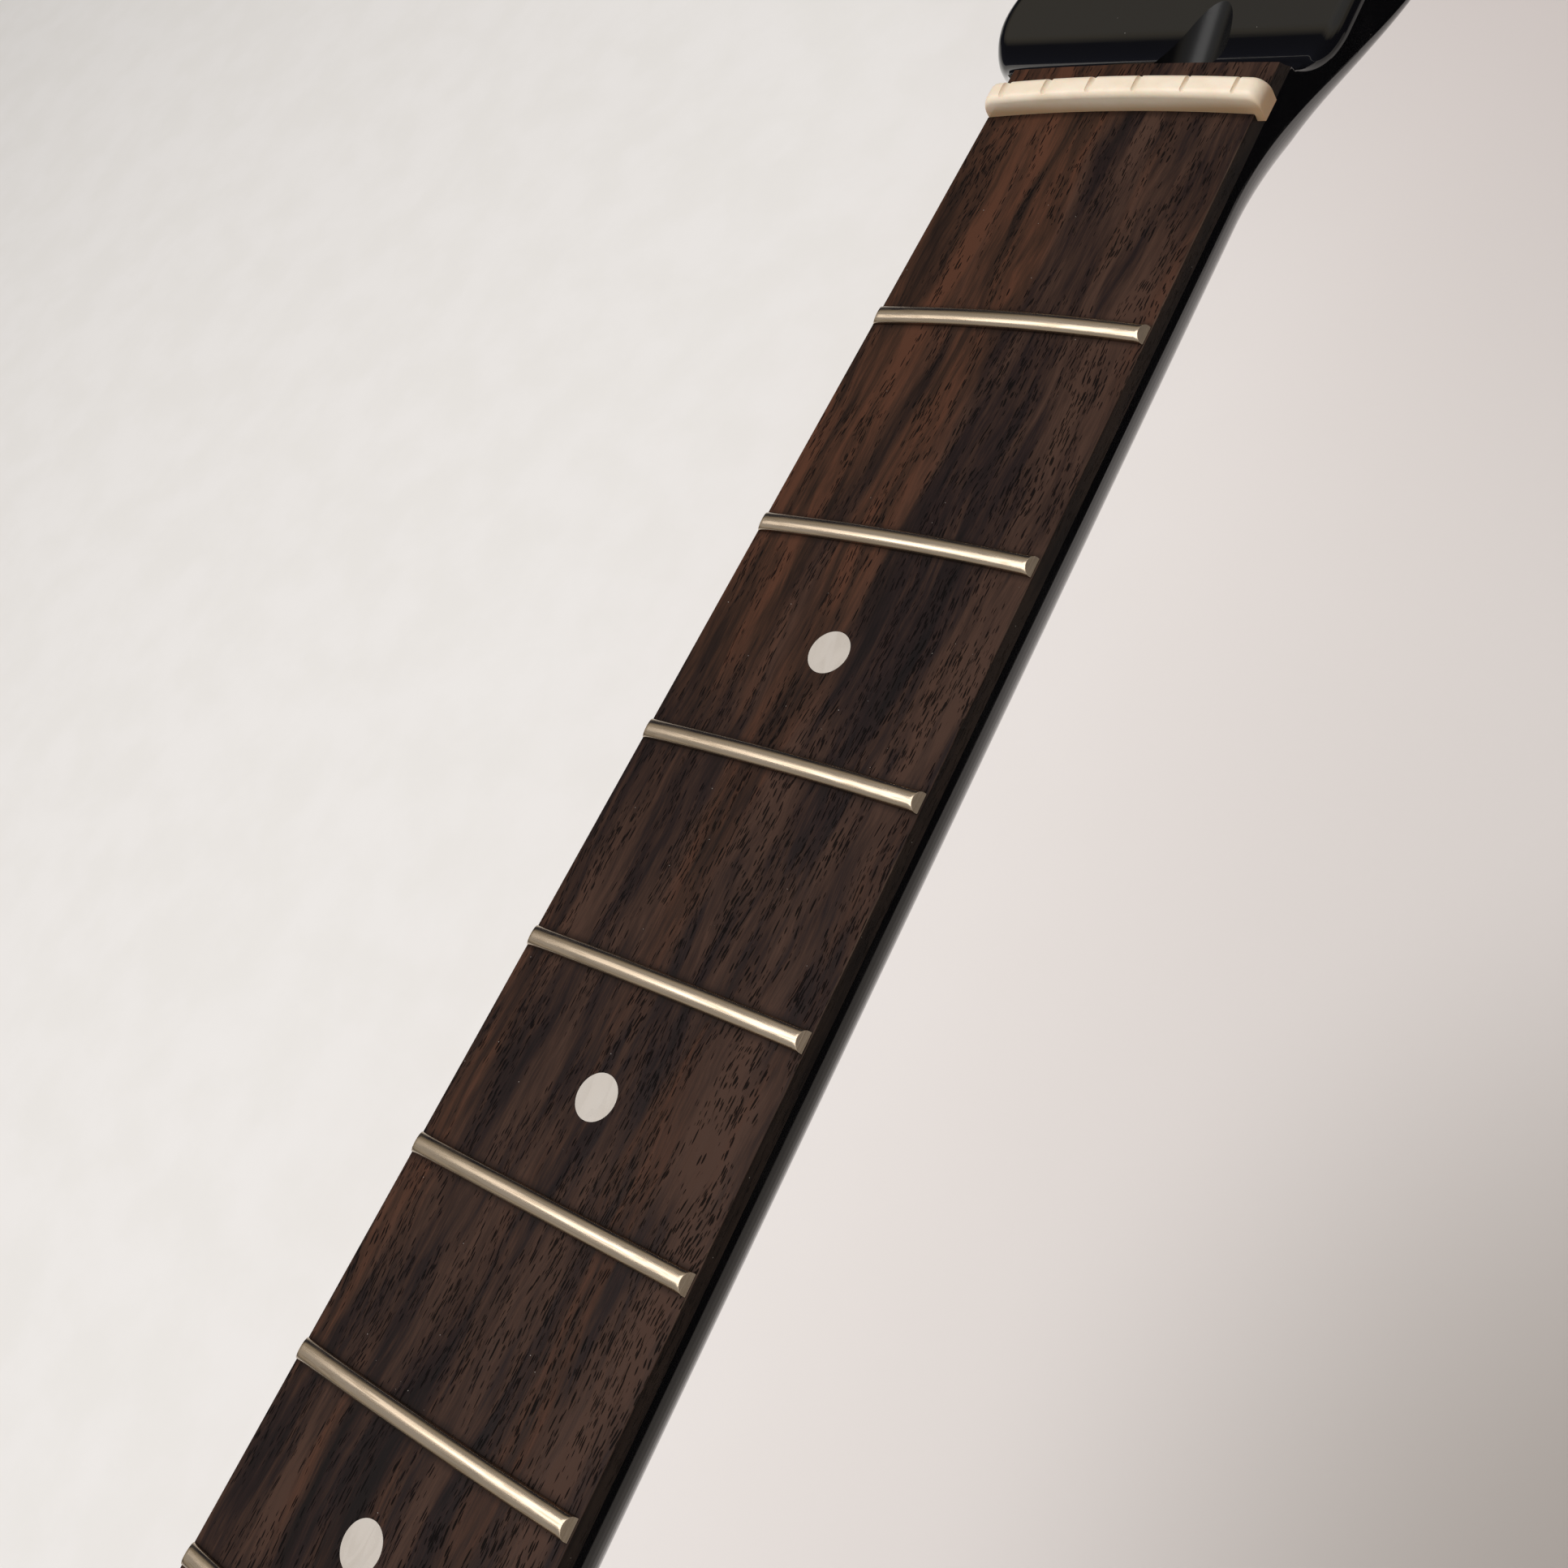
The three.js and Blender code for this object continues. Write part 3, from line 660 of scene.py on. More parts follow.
def neck_ring(along):
    """The neck's section at one place, kept inside the solids' box on the bass side."""
    middle, half = outline_at(along)
    top = [(0, wood_top_z(along))] + top_corner(along, half)
    back = back_curve(along, half)
    if into_tip(along):
        top = rolled(top, along, wood_top_z(along), -1)
    if into_tip(along) or along < HEEL_END + HEEL_CORNER_RADIUS:
        back = rolled(back, along, back[-1][1], 1)
    side = with_supports(top + back)
    whole = side + [(-x, z) for x, z in reversed(side)][1:-1]
    return [place(max(CAD_LEFT, middle + x), along, z) for x, z in whole]


def ring_places():
    blend_end = HEEL_FRONT + HEEL_BLEND_LENGTH
    crest_end = SHOULDER_END + (SHOULDER_END - RAMP_END)
    counts = RING_COUNTS
    return sorted(set(
        into_corner(HEEL_END, HEEL_EDGE_RADIUS, counts["heel_end"])
        + into_corner(HEEL_END, HEEL_CORNER_RADIUS, counts["heel_corner"])
        + between(HEEL_END + HEEL_CORNER_RADIUS, HEEL_FRONT, counts["heel"])
        + between(HEEL_FRONT, blend_end, counts["heel_blend"])
        + between(blend_end, -BACK_BLEND_BEFORE_NUT, counts["shaft"])
        + between(-BACK_BLEND_BEFORE_NUT, GLUE_END, counts["back_blend"])
        + between(GLUE_END, RAMP_END, counts["ramp"])
        + between(RAMP_END, crest_end, counts["crest"])
        + between(crest_end, FLARE_END, counts["flare"])
        + between(FLARE_END, TIP_START, counts["straight"])
        + [TIP_START + HEAD_TIP_LENGTH * math.sin(angle) for angle in quarter_turn(counts["tip"])]
    ))


def add_pipe(bm, path, radius):
    """A round bar along a path in the neck's middle plane."""
    across = Vector((1, 0, 0))
    rings = []
    for centre, tilt in path:
        up = Vector((0, -math.sin(tilt), math.cos(tilt)))
        spokes = [across * math.cos(turn) + up * math.sin(turn) for turn in full_turn(ROUND_SIDES)]
        rings.append([centre + spoke * radius * MM for spoke in spokes])
    add_loft(bm, rings)


GROOVE_CORNER = place(0, ROD_NUT_FRONT + OVERRUN, ROD_Z)
GROOVE_RISE = Vector((0, math.cos(ACCESS_RISE), math.sin(ACCESS_RISE)))


def add_access_cut(bm):
    """Pocket of the truss rod's nut, bent up into the groove that opens on the headstock's face."""
    bend_start = GROOVE_CORNER - Vector((0, ACCESS_BEND_RADIUS * math.tan(ACCESS_RISE / 2) * MM, 0))
    path = [(place(0, ROD_NUT_BACK, ROD_Z), 0), (bend_start - Vector((0, SUPPORT_INSET * MM, 0)), 0)]
    for share in shares(CORNER_STEPS):
        tilt = share * ACCESS_RISE
        swing = Vector((0, math.sin(tilt), 1 - math.cos(tilt))) * ACCESS_BEND_RADIUS * MM
        path.append((bend_start + swing, tilt))
    bend_end = path[-1][0]
    for share in shares(BACK_STEPS)[1:]:
        path.append((bend_end + GROOVE_RISE * share * ACCESS_CUT_LENGTH * MM, ACCESS_RISE))
    add_pipe(bm, path, ACCESS_DIAMETER / 2)


def in_access_groove(centre):
    offset = centre - GROOVE_CORNER
    outward = offset.dot(GROOVE_RISE)
    return outward > 0 and (offset - GROOVE_RISE * outward).length < ACCESS_DIAMETER / 2 * MM


def sharpen_groove(piece):
    """Marks the groove's rim, which meets the face too flat to be found by its angle."""
    bm = bmesh.new()
    bm.from_mesh(piece.data)
    for edge in bm.edges:
        if len({in_access_groove(face.calc_center_median()) for face in edge.link_faces}) == 2:
            edge.smooth = False
    bm.to_mesh(piece.data)
    bm.free()


def add_channel_cut(bm):
    half = CHANNEL_WIDTH / 2
    add_box(bm, place(-half, CHANNEL_END, CHANNEL_FLOOR_Z), place(half, ROD_NUT_BACK, GLUE_Z + OVERRUN))


def add_tuner_holes(bm):
    """Tuner holes, with a small rounded lip in the lacquer at both faces."""
    radius = TUNER_HOLE_DIAMETER / 2
    lip = [(depth, radius + out) for depth, out in quarter_arc(TUNER_HOLE_LIP, TUNER_HOLE_LIP, EDGE_STEPS)]
    high = [(FACE_Z - depth, wide) for depth, wide in reversed(lip)]
    ends = lip[0][1]
    profile = [(-OVERRUN, ends)] + lip + high + [(FACE_Z + OVERRUN, ends)]
    for x, along in TUNER_PLACES:
        add_revolve(bm, place(x, along, 0), (0, 0, 1), profile, ROUND_SIDES)


def screw_places():
    return [
        (side * SCREW_SPACING_ACROSS / 2, SEAT_ALONG + end * SCREW_SPACING_ALONG / 2)
        for side in (-1, 1)
        for end in (-1, 1)
    ]


def add_screw_holes(bm):
    radius = SCREW_HOLE_DIAMETER / 2
    point = SCREW_HOLE_DEPTH - radius
    profile = [(-OVERRUN, radius), (point, radius), (SCREW_HOLE_DEPTH, radius / 4)]
    for x, along in screw_places():
        add_revolve(bm, place(x, along, 0), (0, 0, 1), profile, SMALL_SIDES)


def neck():
    piece = loft_object("neck_wood", [neck_ring(along) for along in ring_places()], end_cap=False)
    cut(piece, add_channel_cut, add_access_cut, add_tuner_holes, add_screw_holes)
    sharpen_groove(piece)
    return piece


# Fingerboard
def board_ring(along):
    half = board_half_width(along) - round_drop(BOARD_CORNER_RADIUS, along - BOARD_END)
    edge = BOARD_EDGE_RADIUS
    flat = half - edge
    arc = [(x, board_top_z(x)) for x in (flat * share for share in shares(ACROSS_STEPS // 2))]
    shoulder_z = arc[-1][1] - edge
    corner = [(flat + edge * math.sin(a), shoulder_z + edge * math.cos(a)) for a in quarter_turn(EDGE_STEPS)]
    side = arc + corner[1:] + [(half, BOARD_BOTTOM_Z)]
    whole = side + [(-x, z) for x, z in reversed(side)][:-1]
    return [place(x, along, z) for x, z in whole]


def add_ramp_cut(bm):
    """The air above the hollow ramp behind the nut."""
    back, roof = RAMP_END + OVERRUN, TOP_Z + OVERRUN
    alongs = [mix(GLUE_END - OVERRUN * 2, RAMP_END, share) for share in shares(RING_COUNTS["ramp"])]
    section = [(along, ramp_z(along)) for along in alongs if ramp_z(along) < roof]
    section += [(back, FACE_Z), (back, roof), (section[0][0], roof)]
    half = BOARD_WIDTH_AT_NUT
    add_loft(bm, [[place(x, along, z) for along, z in section] for x in (-half, half)])


def add_nut_slot(bm):
    half = BOARD_WIDTH_AT_NUT / 2 + OVERRUN
    low = place(-half, NUT_FRONT - SEAT_GAP, TOP_Z - NUT_SEAT_DEPTH)
    add_box(bm, low, place(half, NUT_FRONT + NUT_THICKNESS + SEAT_GAP, TOP_Z + OVERRUN))


def dot_along(fret):
    return -(fret_distance(fret - 1) + fret_distance(fret)) / 2 - DOT_TOWARDS_BODY


Dot = namedtuple("Dot", "name along across side_along")


def dot_list():
    dots = []
    for fret in MARKED_FRETS:
        along = dot_along(fret)
        if fret == OCTAVE_FRET:
            for letter, way in (("a", -1), ("b", 1)):
                side_along = along + way * OCTAVE_SIDE_DOT_SPACING / 2
                dots.append(Dot(f"{fret:02d}_{letter}", along, way * OCTAVE_DOT_SPACING / 2, side_along))
        else:
            dots.append(Dot(f"{fret:02d}", along, 0, along))
    return dots


DOTS = dot_list()


def add_dot_pockets(bm):
    radius = DOT_DIAMETER / 2 + SEAT_GAP
    profile = [(-DOT_DEPTH - SEAT_GAP, radius), (OVERRUN, radius)]
    for dot in DOTS:
        add_revolve(bm, place(dot.across, dot.along, TOP_Z), (0, 0, 1), profile, ROUND_SIDES)


def board_side_height(along):
    return board_top_z(board_half_width(along)) - BOARD_BOTTOM_Z


SIDE_DOT_DIAMETER = board_side_height(dot_along(max(MARKED_FRETS))) * SIDE_DOT_HEIGHT_SHARE


def add_sideways(bm, along, profile):
    """A round body in the bass side of the board, half way up it."""
    middle_z = BOARD_BOTTOM_Z + board_side_height(along) / 2
    add_revolve(bm, place(0, along, middle_z), (-1, 0, 0), profile, SMALL_SIDES)


def add_side_dot_pockets(bm):
    radius = SIDE_DOT_DIAMETER / 2 + SEAT_GAP
    for dot in DOTS:
        half = board_half_width(dot.side_along)
        profile = [(half - SIDE_DOT_DEPTH - SEAT_GAP * 2, radius), (half + OVERRUN, radius)]
        add_sideways(bm, dot.side_along, profile)


def add_across_board(bm, start, section, reach):
    """A body that follows the playing radius, square across the board up to its two shaped ends."""
    level = min(reach(start + offset, height) for offset, height in section) - SUPPORT_INSET
    inner = [(2 * share - 1) * level for share in shares(ACROSS_STEPS)]
    rings = [[over_board(x, start + offset, height) for offset, height in section] for x in inner]

    def end_ring(side):
        return [
            over_board(side * reach(start + offset, height), start + offset, height)
            for offset, height in section
        ]

    add_loft(bm, [end_ring(-1)] + rings + [end_ring(1)])


def slab_section(width, low, high):
    half = width / 2
    return [(-half, low), (half, low), (half, high), (-half, high)]


def tang_reach(along, height):
    return board_half_width(along) - TANG_SHORT_OF_EDGE


def slot_reach(along, height):
    return tang_reach(along, height) + RUNNING_GAP


def crown_reach(along, height):
    return board_half_width(along) - FRET_SHORT_OF_EDGE - max(0, height) * math.tan(FRET_END_BEVEL)


def add_fret_slots(bm):
    section = slab_section(TANG_WIDTH + SEAT_GAP * 2, -TANG_DEPTH - RUNNING_GAP, OVERRUN)
    for fret in FRETS:
        add_across_board(bm, -fret_distance(fret), section, slot_reach)


def fingerboard():
    corner = into_corner(BOARD_END, BOARD_CORNER_RADIUS, CORNER_STEPS)
    main = between(BOARD_END + BOARD_CORNER_RADIUS, BOARD_BEHIND_NUT, ACROSS_STEPS)
    places = sorted(set(corner + main + [GLUE_END + OVERRUN]))
    blank = loft_object("fingerboard_wood", [board_ring(along) for along in places])
    return cut(blank, add_ramp_cut, add_nut_slot, add_fret_slots, add_dot_pockets, add_side_dot_pockets)


# Frets, dots and nut
def break_edges(bm):
    """A small bevel on the sharp edges of a closed body."""
    bm.normal_update()
    sharp = [edge for edge in bm.edges if edge.is_manifold and edge.calc_face_angle() > SHARP_ANGLE]
    bmesh.ops.bevel(bm, geom=sharp, offset=FRET_EDGE_BREAK * MM, segments=2, profile=0.5, affect="EDGES")


def fret_wire(fret):
    along = -fret_distance(fret)
    half = CROWN_WIDTH / 2
    rise = CROWN_HEIGHT - CROWN_SHOULDER_HEIGHT
    turns = [share * math.pi for share in shares(CROWN_STEPS)]
    crown = [(half * math.cos(turn), CROWN_SHOULDER_HEIGHT + rise * math.sin(turn)) for turn in turns]
    bm = new_bmesh(add_across_board, along, [(-half, SEAT_GAP), (half, SEAT_GAP)] + crown, crown_reach)
    break_edges(bm)
    piece = new_object(f"fret_wire_{fret:02d}", bm)
    tang = slab_section(TANG_WIDTH, -TANG_DEPTH, CROWN_SHOULDER_HEIGHT)
    combine(piece, "UNION", new_bmesh(add_across_board, along, tang, tang_reach))
    return piece


def face_dot(dot):
    """A disc whose top follows the playing radius."""
    def circle(radius):
        return [
            (dot.across + radius * math.cos(turn), dot.along + radius * math.sin(turn))
            for turn in full_turn(ROUND_SIDES)
        ]

    radius = DOT_DIAMETER / 2
    rings = [[place(x, along, TOP_Z - DOT_DEPTH) for x, along in circle(radius)]]
    for share in reversed(shares(CORNER_STEPS)[1:]):
        rings.append([place(x, along, board_top_z(x)) for x, along in circle(radius * share)])
    return loft_object(f"pearl_dot_{dot.name}", rings)


def side_dot(dot):
    half = board_half_width(dot.side_along) - SEAT_GAP
    radius = SIDE_DOT_DIAMETER / 2
    profile = [(half - SIDE_DOT_DEPTH, radius), (half - SEAT_GAP, radius), (half, radius - SEAT_GAP)]
    return new_object(f"pearl_side_dot_{dot.name}", new_bmesh(add_sideways, dot.side_along, profile))


def nut_stations():
    """Places across the nut, with the top's drop at each: a quarter circle at both ends."""
    level = BOARD_WIDTH_AT_NUT / 2 + NUT_PAST_EDGE - NUT_END_RADIUS
    end = [
        (level + NUT_END_RADIUS * math.sin(a), NUT_END_RADIUS * (1 - math.cos(a)))
        for a in quarter_turn(CORNER_STEPS)
    ]
    middle = [(mix(-level, level, share), 0) for share in shares(ACROSS_STEPS)[1:-1]]
    return [(-x, drop) for x, drop in reversed(end)] + middle + end


def add_string_slots(bm):
    """Round-bottomed slots that fall away towards the tuners, open at the top."""
    for share in shares(STRING_COUNT - 1):
        half = mix(THICKEST_STRING_SLOT, THINNEST_STRING_SLOT, share) / 2
        x = string_x(share, 0) + NUT_TOWARDS_TREBLE
        seat_z = board_top_z(x) + NUT_HEIGHT - STRING_SLOT_DEPTH + half
        turns = [math.pi * (1 + i / SMALL_SIDES) for i in range(SMALL_SIDES + 1)]
        section = [(half * math.cos(turn), half * math.sin(turn)) for turn in turns]
        section += [(half, OVERRUN), (-half, OVERRUN)]
        rings = []
        for offset in (-OVERRUN, NUT_THICKNESS + OVERRUN):
            fall = offset * math.tan(STRING_SLOT_FALL)
            points = [(x + across, seat_z + up - fall) for across, up in section]
            rings.append([place(point_x, NUT_FRONT + offset, z) for point_x, z in points])
        add_loft(bm, rings)


def nut():
    floor = TOP_Z - NUT_SEAT_DEPTH + SEAT_GAP
    edge = quarter_arc(NUT_EDGE_RADIUS, NUT_EDGE_RADIUS, CORNER_STEPS)
    body_side = [(offset, NUT_HEIGHT - drop) for drop, offset in edge]
    tip_side = [(NUT_THICKNESS - offset, height) for offset, height in reversed(body_side)]
    rings = []
    for x, drop in nut_stations():
        across = x + NUT_TOWARDS_TREBLE
        foot = [place(across, NUT_FRONT + offset, floor) for offset in (0, NUT_THICKNESS)]
        profile = tip_side + body_side
        top = [over_board(across, NUT_FRONT + offset, height - drop) for offset, height in profile]
        rings.append(foot + top)
    return cut(loft_object("nut_blank", rings), add_string_slots)


def add_socket(bm):
    """Hexagon socket in the tip end of the truss rod's nut."""
    radius = SOCKET_ACROSS_FLATS / 2 / math.cos(math.pi / HEXAGON_SIDES)
    profile = [(ROD_NUT_FRONT - SOCKET_DEPTH, radius), (ROD_NUT_FRONT + OVERRUN, radius)]
    add_revolve(bm, place(0, 0, ROD_Z), (0, 1, 0), profile, HEXAGON_SIDES)


def rod_nut():
    """Round nut of the truss rod, with chamfered rims."""
    radius = ROD_NUT_DIAMETER / 2
    profile = [
        (ROD_NUT_BACK + SEAT_GAP, radius - ROD_NUT_CHAMFER),
        (ROD_NUT_BACK + SEAT_GAP + ROD_NUT_CHAMFER, radius),
        (ROD_NUT_FRONT - ROD_NUT_CHAMFER, radius),
        (ROD_NUT_FRONT, radius - ROD_NUT_CHAMFER),
    ]
    blank = new_bmesh(add_revolve, place(0, 0, ROD_Z), (0, 1, 0), profile, ROUND_SIDES)
    return cut(new_object("rod_nut", blank), add_socket)


# Materials
def from_screen(colour):
    """The light that makes a pale colour, given as the screen shows it, from 0 to 255."""
    return [((value / 255 + 0.055) / 1.055) ** 2.4 for value in colour]


class Value:
    """A number that a node gives, to be added, subtracted, multiplied and divided like a plain one."""

    def __init__(self, nodes, socket):
        self.nodes = nodes
        self.socket = socket

    def __add__(self, other):
        return self.nodes.math("ADD", self, other)

    def __sub__(self, other):
        return self.nodes.math("SUBTRACT", self, other)

    def __rsub__(self, other):
        return self.nodes.math("SUBTRACT", other, self)

    def __mul__(self, other):
        return self.nodes.math("MULTIPLY", self, other)

    def __truediv__(self, other):
        return self.nodes.math("DIVIDE", self, other)

    def __abs__(self):
        return self.nodes.math("ABSOLUTE", self)

    def __round__(self):
        return self.nodes.math("ROUND", self)


class Nodes:
    """The nodes of a material or of the world."""

    def __init__(self, owner):
        owner.use_nodes = True
        self.tree = owner.node_tree

    def node(self, kind, inputs=None, **settings):
        node = self.tree.nodes.new(kind)
        for setting, value in settings.items():
            setattr(node, setting, value)
        for name, value in (inputs or {}).items():
            self.feed(node.inputs[name], value)
        return node

    def feed(self, socket, value):
        if isinstance(value, Value):
            value = value.socket
        if isinstance(value, bpy.types.NodeSocket):
            self.tree.links.new(value, socket)
        else:
            socket.default_value = (*value, 1) if socket.type == "RGBA" else value

    def value(self, kind, inputs, output=0, **settings):
        return Value(self, self.node(kind, inputs, **settings).outputs[output])

    def math(self, operation, first, second=0.0):
        return self.value("ShaderNodeMath", {0: first, 1: second}, operation=operation)

    def ramp(self, value, stops):
        """Colours along a value, from a list of (place, colour)."""
        node = self.node("ShaderNodeValToRGB", {0: value})
        elements = node.color_ramp.elements
        while len(elements) < len(stops):
            elements.new(1)
        for element, (share, colour) in zip(elements, stops):
            element.position = share
            element.color = (*colour, 1)
        return node.outputs[0]


class Finish(Nodes):
    """A material, with patterns sized in millimetres in the object's own space."""

    def __init__(self, name, **constants):
        self.material = bpy.data.materials.new(name)
        super().__init__(self.material)
        self.shader = self.tree.nodes["Principled BSDF"]
        self.place = self.node("ShaderNodeTexCoord").outputs["Object"]
        self.normal = None
        for socket, value in constants.items():
            self.shader.inputs[socket.replace("_", " ")].default_value = value

    def part(self, vector, name):
        return self.value("ShaderNodeSeparateXYZ", {0: vector}, name)

    def axis(self, name):
        return self.part(self.place, name)

    def facing(self, name):
        """How far the surface turns towards one axis, from -1 to 1."""
        return self.part(self.node("ShaderNodeTexCoord").outputs["Normal"], name)

    def away(self, centre):
        """Distance from a fixed point, in metres."""
        return self.value("ShaderNodeVectorMath", {0: self.place, 1: centre}, "Value", operation="DISTANCE")

    def step(self, value, low, high, start=0.0, end=1.0):
        """From start to end as the value goes from low to high."""
        inputs = dict(enumerate((value, low, high, start, end)))
        return self.value("ShaderNodeMapRange", inputs, interpolation_type="SMOOTHSTEP")

    def fade(self, distance, first, second):
        """From 0 at the first distance to 1 at the second, both in millimetres."""
        return self.step(distance, first * MM, second * MM)

    def sized(self, sizes, seed, turn=0):
        """The place measured in units of the given sizes, turned round the vertical first."""
        turned = self.node("ShaderNodeMapping", {"Vector": self.place, "Rotation": (0, 0, turn)})
        return self.node("ShaderNodeMapping", {
            "Vector": turned.outputs[0],
            "Scale": [1 / (size * MM) for size in sizes],
            "Location": [seed * step for step in SEED_STEPS],
        }).outputs[0]

    def noise(self, sizes, seed, detail=2, roughness=0.5, distortion=0, turn=0):
        return self.value("ShaderNodeTexNoise", {
            "Vector": self.sized(sizes, seed, turn),
            "Scale": 1,
            "Detail": detail,
            "Roughness": roughness,
            "Distortion": distortion,
        }, "Fac")

    def scattered(self, sizes, seed):
        """Distance from the nearest of many scattered points, and a colour for each point."""
        return self.node("ShaderNodeTexVoronoi", {"Vector": self.sized(sizes, seed), "Scale": 1}).outputs

    def specks(self, size, seed, outer, inner):
        """One in small round spots far apart, as wide as a share of the size."""
        return self.step(self.scattered((size, size, size), seed)["Distance"], outer, inner)

    def dashes(self, sizes, density, seed, reach):
        """Scattered dashes as long as the cells' sizes say, more of them where the density is high."""
        cells = self.scattered(sizes, seed)
        chance = self.value("ShaderNodeSeparateColor", {0: cells["Color"]})
        kept = self.step(density - chance * DASH_CHANCE, *DASH_KEPT)
        return self.step(cells["Distance"], *(reach + rim for rim in DASH_RIM)) * kept

    def waver(self, sizes, seed, reach):
        """Shifts all patterns made after this one sideways, so that straight bands turn smoky."""
        drift = (self.noise(sizes, seed) - 0.5) * (reach * MM)
        offset = self.node("ShaderNodeCombineXYZ", {"X": drift}).outputs[0]
        moved = self.node("ShaderNodeVectorMath", {0: self.place, 1: offset}, operation="ADD")
        self.place = moved.outputs[0]

    def colour(self, share, first, second):
        """From the first colour to the second as the share goes from 0 to 1."""
        node = self.node("ShaderNodeMix", {"Factor": share}, data_type="RGBA")
        colours = [socket for socket in node.inputs if socket.type == "RGBA"]
        self.feed(colours[0], first)
        self.feed(colours[1], second)
        return next(socket for socket in node.outputs if socket.type == "RGBA")

    def relief(self, height, depth):
        """A bump of the given depth in millimetres, on top of the ones before it."""
        bump = self.node("ShaderNodeBump", {"Distance": depth * MM, "Height": height})
        if self.normal is not None:
            self.feed(bump.inputs["Normal"], self.normal)
        self.normal = bump.outputs[0]

    def finished(self, colour, roughness):
        self.feed(self.shader.inputs["Base Color"], colour)
        self.feed(self.shader.inputs["Roughness"], roughness)
        if self.normal is not None:
            self.feed(self.shader.inputs["Normal"], self.normal)
        return self.material


def wood_pattern(finish):
    """Tone from dark to light by smoky bands, streaks and fibres, and the last two by themselves."""
    finish.waver((10, 30, 10), 4, 4.5)
    bands = finish.noise((4.8, 40, 7), seed=1, detail=4, roughness=0.56, distortion=0.3)
    streaks = finish.noise((1.1, 17, 1.5), seed=2, detail=3, roughness=0.6, distortion=0.15)
    fibres = finish.noise((0.19, 3.6, 0.25), seed=3, roughness=0.6)
    return bands * 0.56 + streaks * 0.27 + fibres * 0.17, streaks, fibres


def wood_pores(finish, crowding):
    """Long dashes gathered in chains, with here and there some that run together."""
    chains = finish.noise((3, 15, 3), seed=5) * 2 + crowding - 0.55
    pores = 0.0
    for sizes, seed, reach in PORE_LAYERS:
        pores = finish.math("MAXIMUM", pores, finish.dashes(sizes, chains, seed, reach))
    merged = finish.step(finish.noise((0.34, 5, 0.4), seed=12), 0.66, 0.72, 0, 0.8)
    return finish.math("MAXIMUM", pores, merged * finish.step(chains, 0.46, 0.56))


def beside_frets(finish, along):
    """One at the foot of every fret, falling to nothing a short way off: where painted shade, with some grime, darkens
    the wood.
    """
    playing = along + (SEAT_ALONG + SCALE_LENGTH) * MM
    count = finish.math("LOGARITHM", playing / (SCALE_LENGTH * MM), 2.0) * -OCTAVE_FRET
    spacing = playing * (math.log(2) / OCTAVE_FRET)
    foot = CROWN_WIDTH / 2
    return finish.fade(abs(count - round(count)) * spacing, foot + FRET_SHADE_REACH, foot)


def painted_edges_and_dust(finish, colour, streaks):
    """A painted highlight on the treble arris, painted shade on the board's sides, and dust."""
    turn = finish.facing("X")
    # Painted highlight along the treble arris, broken up by the streaks
    treble_arris_highlight = finish.step(turn, 0.2, 0.6) * finish.step(streaks, 0.35, 0.65, 0.1, 0.5)
    colour = finish.colour(treble_arris_highlight, colour, (0.11, 0.075, 0.055))
    # Painted shade darkens both sides of the board
    side = finish.step(abs(turn - 0.15), 0.6, 0.83, 0, 0.72)
    colour = finish.colour(side, colour, (0.004, 0.0026, 0.002))
    return finish.colour(finish.specks(2.6, 8, 0.03, 0.018) * 0.7, colour, (0.36, 0.33, 0.3))


def rosewood():
    """Oiled open-pored wood, purple-black to red-brown, redder towards the nut on the bass side."""
    finish = Finish("rosewood", Specular_IOR_Level=0.08)
    across, along = finish.axis("X"), finish.axis("Y")
    treble = finish.fade(across, *TREBLE_FADE)
    near_nut = finish.fade(along, *(y - SEAT_ALONG for y in NUT_FADE))
    tone, streaks, fibres = wood_pattern(finish)
    heart = finish.fade(abs(across - HEART_MIDDLE * MM), *HEART_FADE) * near_nut
    # Painted sheen: the wood lightens towards the treble edge
    rim = finish.fade(across, *TREBLE_SHEEN_FADE)
    warmth = (1 - treble) * near_nut
    tone = tone + heart * 0.01 + warmth * 0.045 + rim * 0.035 + 0.008
    patches = finish.noise((7, 70, 9), seed=9, distortion=0.5)
    redness = finish.step(patches * 0.8 + warmth * 0.24 - treble * 0.06, 0.34, 0.58)
    colour = finish.colour(redness, finish.ramp(tone, PURPLE_WOOD), finish.ramp(tone, RED_WOOD))
    pores = wood_pores(finish, treble * 0.11 - near_nut * 0.05)
    colour = finish.colour(pores * 0.9, colour, (0.0016, 0.001, 0.001))
    # Painted shade, with some grime, darkens the wood at the foot of every fret
    colour = finish.colour(beside_frets(finish, along) * 0.5, colour, (0.006, 0.003, 0.002))
    colour = painted_edges_and_dust(finish, colour, streaks)
    finish.relief(1 - pores, 0.04)
    finish.relief(streaks, 0.01)
    finish.relief(fibres, 0.007)
    return finish.finished(colour, finish.step(streaks, 0.3, 0.7, 0.48, 0.6) + pores * 0.3)


def lacquer(name, dullness, gloss):
    """Gloss black with a trace of orange peel, wiping marks and dust."""
    finish = Finish(name, IOR=1.5, Specular_IOR_Level=gloss)
    wipes = finish.noise((0.08, 14, 0.08), seed=13, detail=1, turn=0.5)
    smears = finish.noise((9, 16, 9), seed=14, detail=3)
    dust = finish.specks(4, 15, 0.026, 0.016) * 0.6
    colour = finish.colour(dust, (0.0028, 0.0027, 0.003), (0.3, 0.28, 0.26))
    finish.relief(finish.noise((2.4, 2.4, 2.4), seed=11, detail=1), 0.0016)
    finish.relief(finish.noise((14, 30, 14), seed=12, detail=1), 0.004)
    marks = finish.step(wipes, 0.62, 0.74, dullness, dullness + 0.035)
    return finish.finished(colour, finish.step(smears, 0.35, 0.75, 0.045, 0.1) + marks)


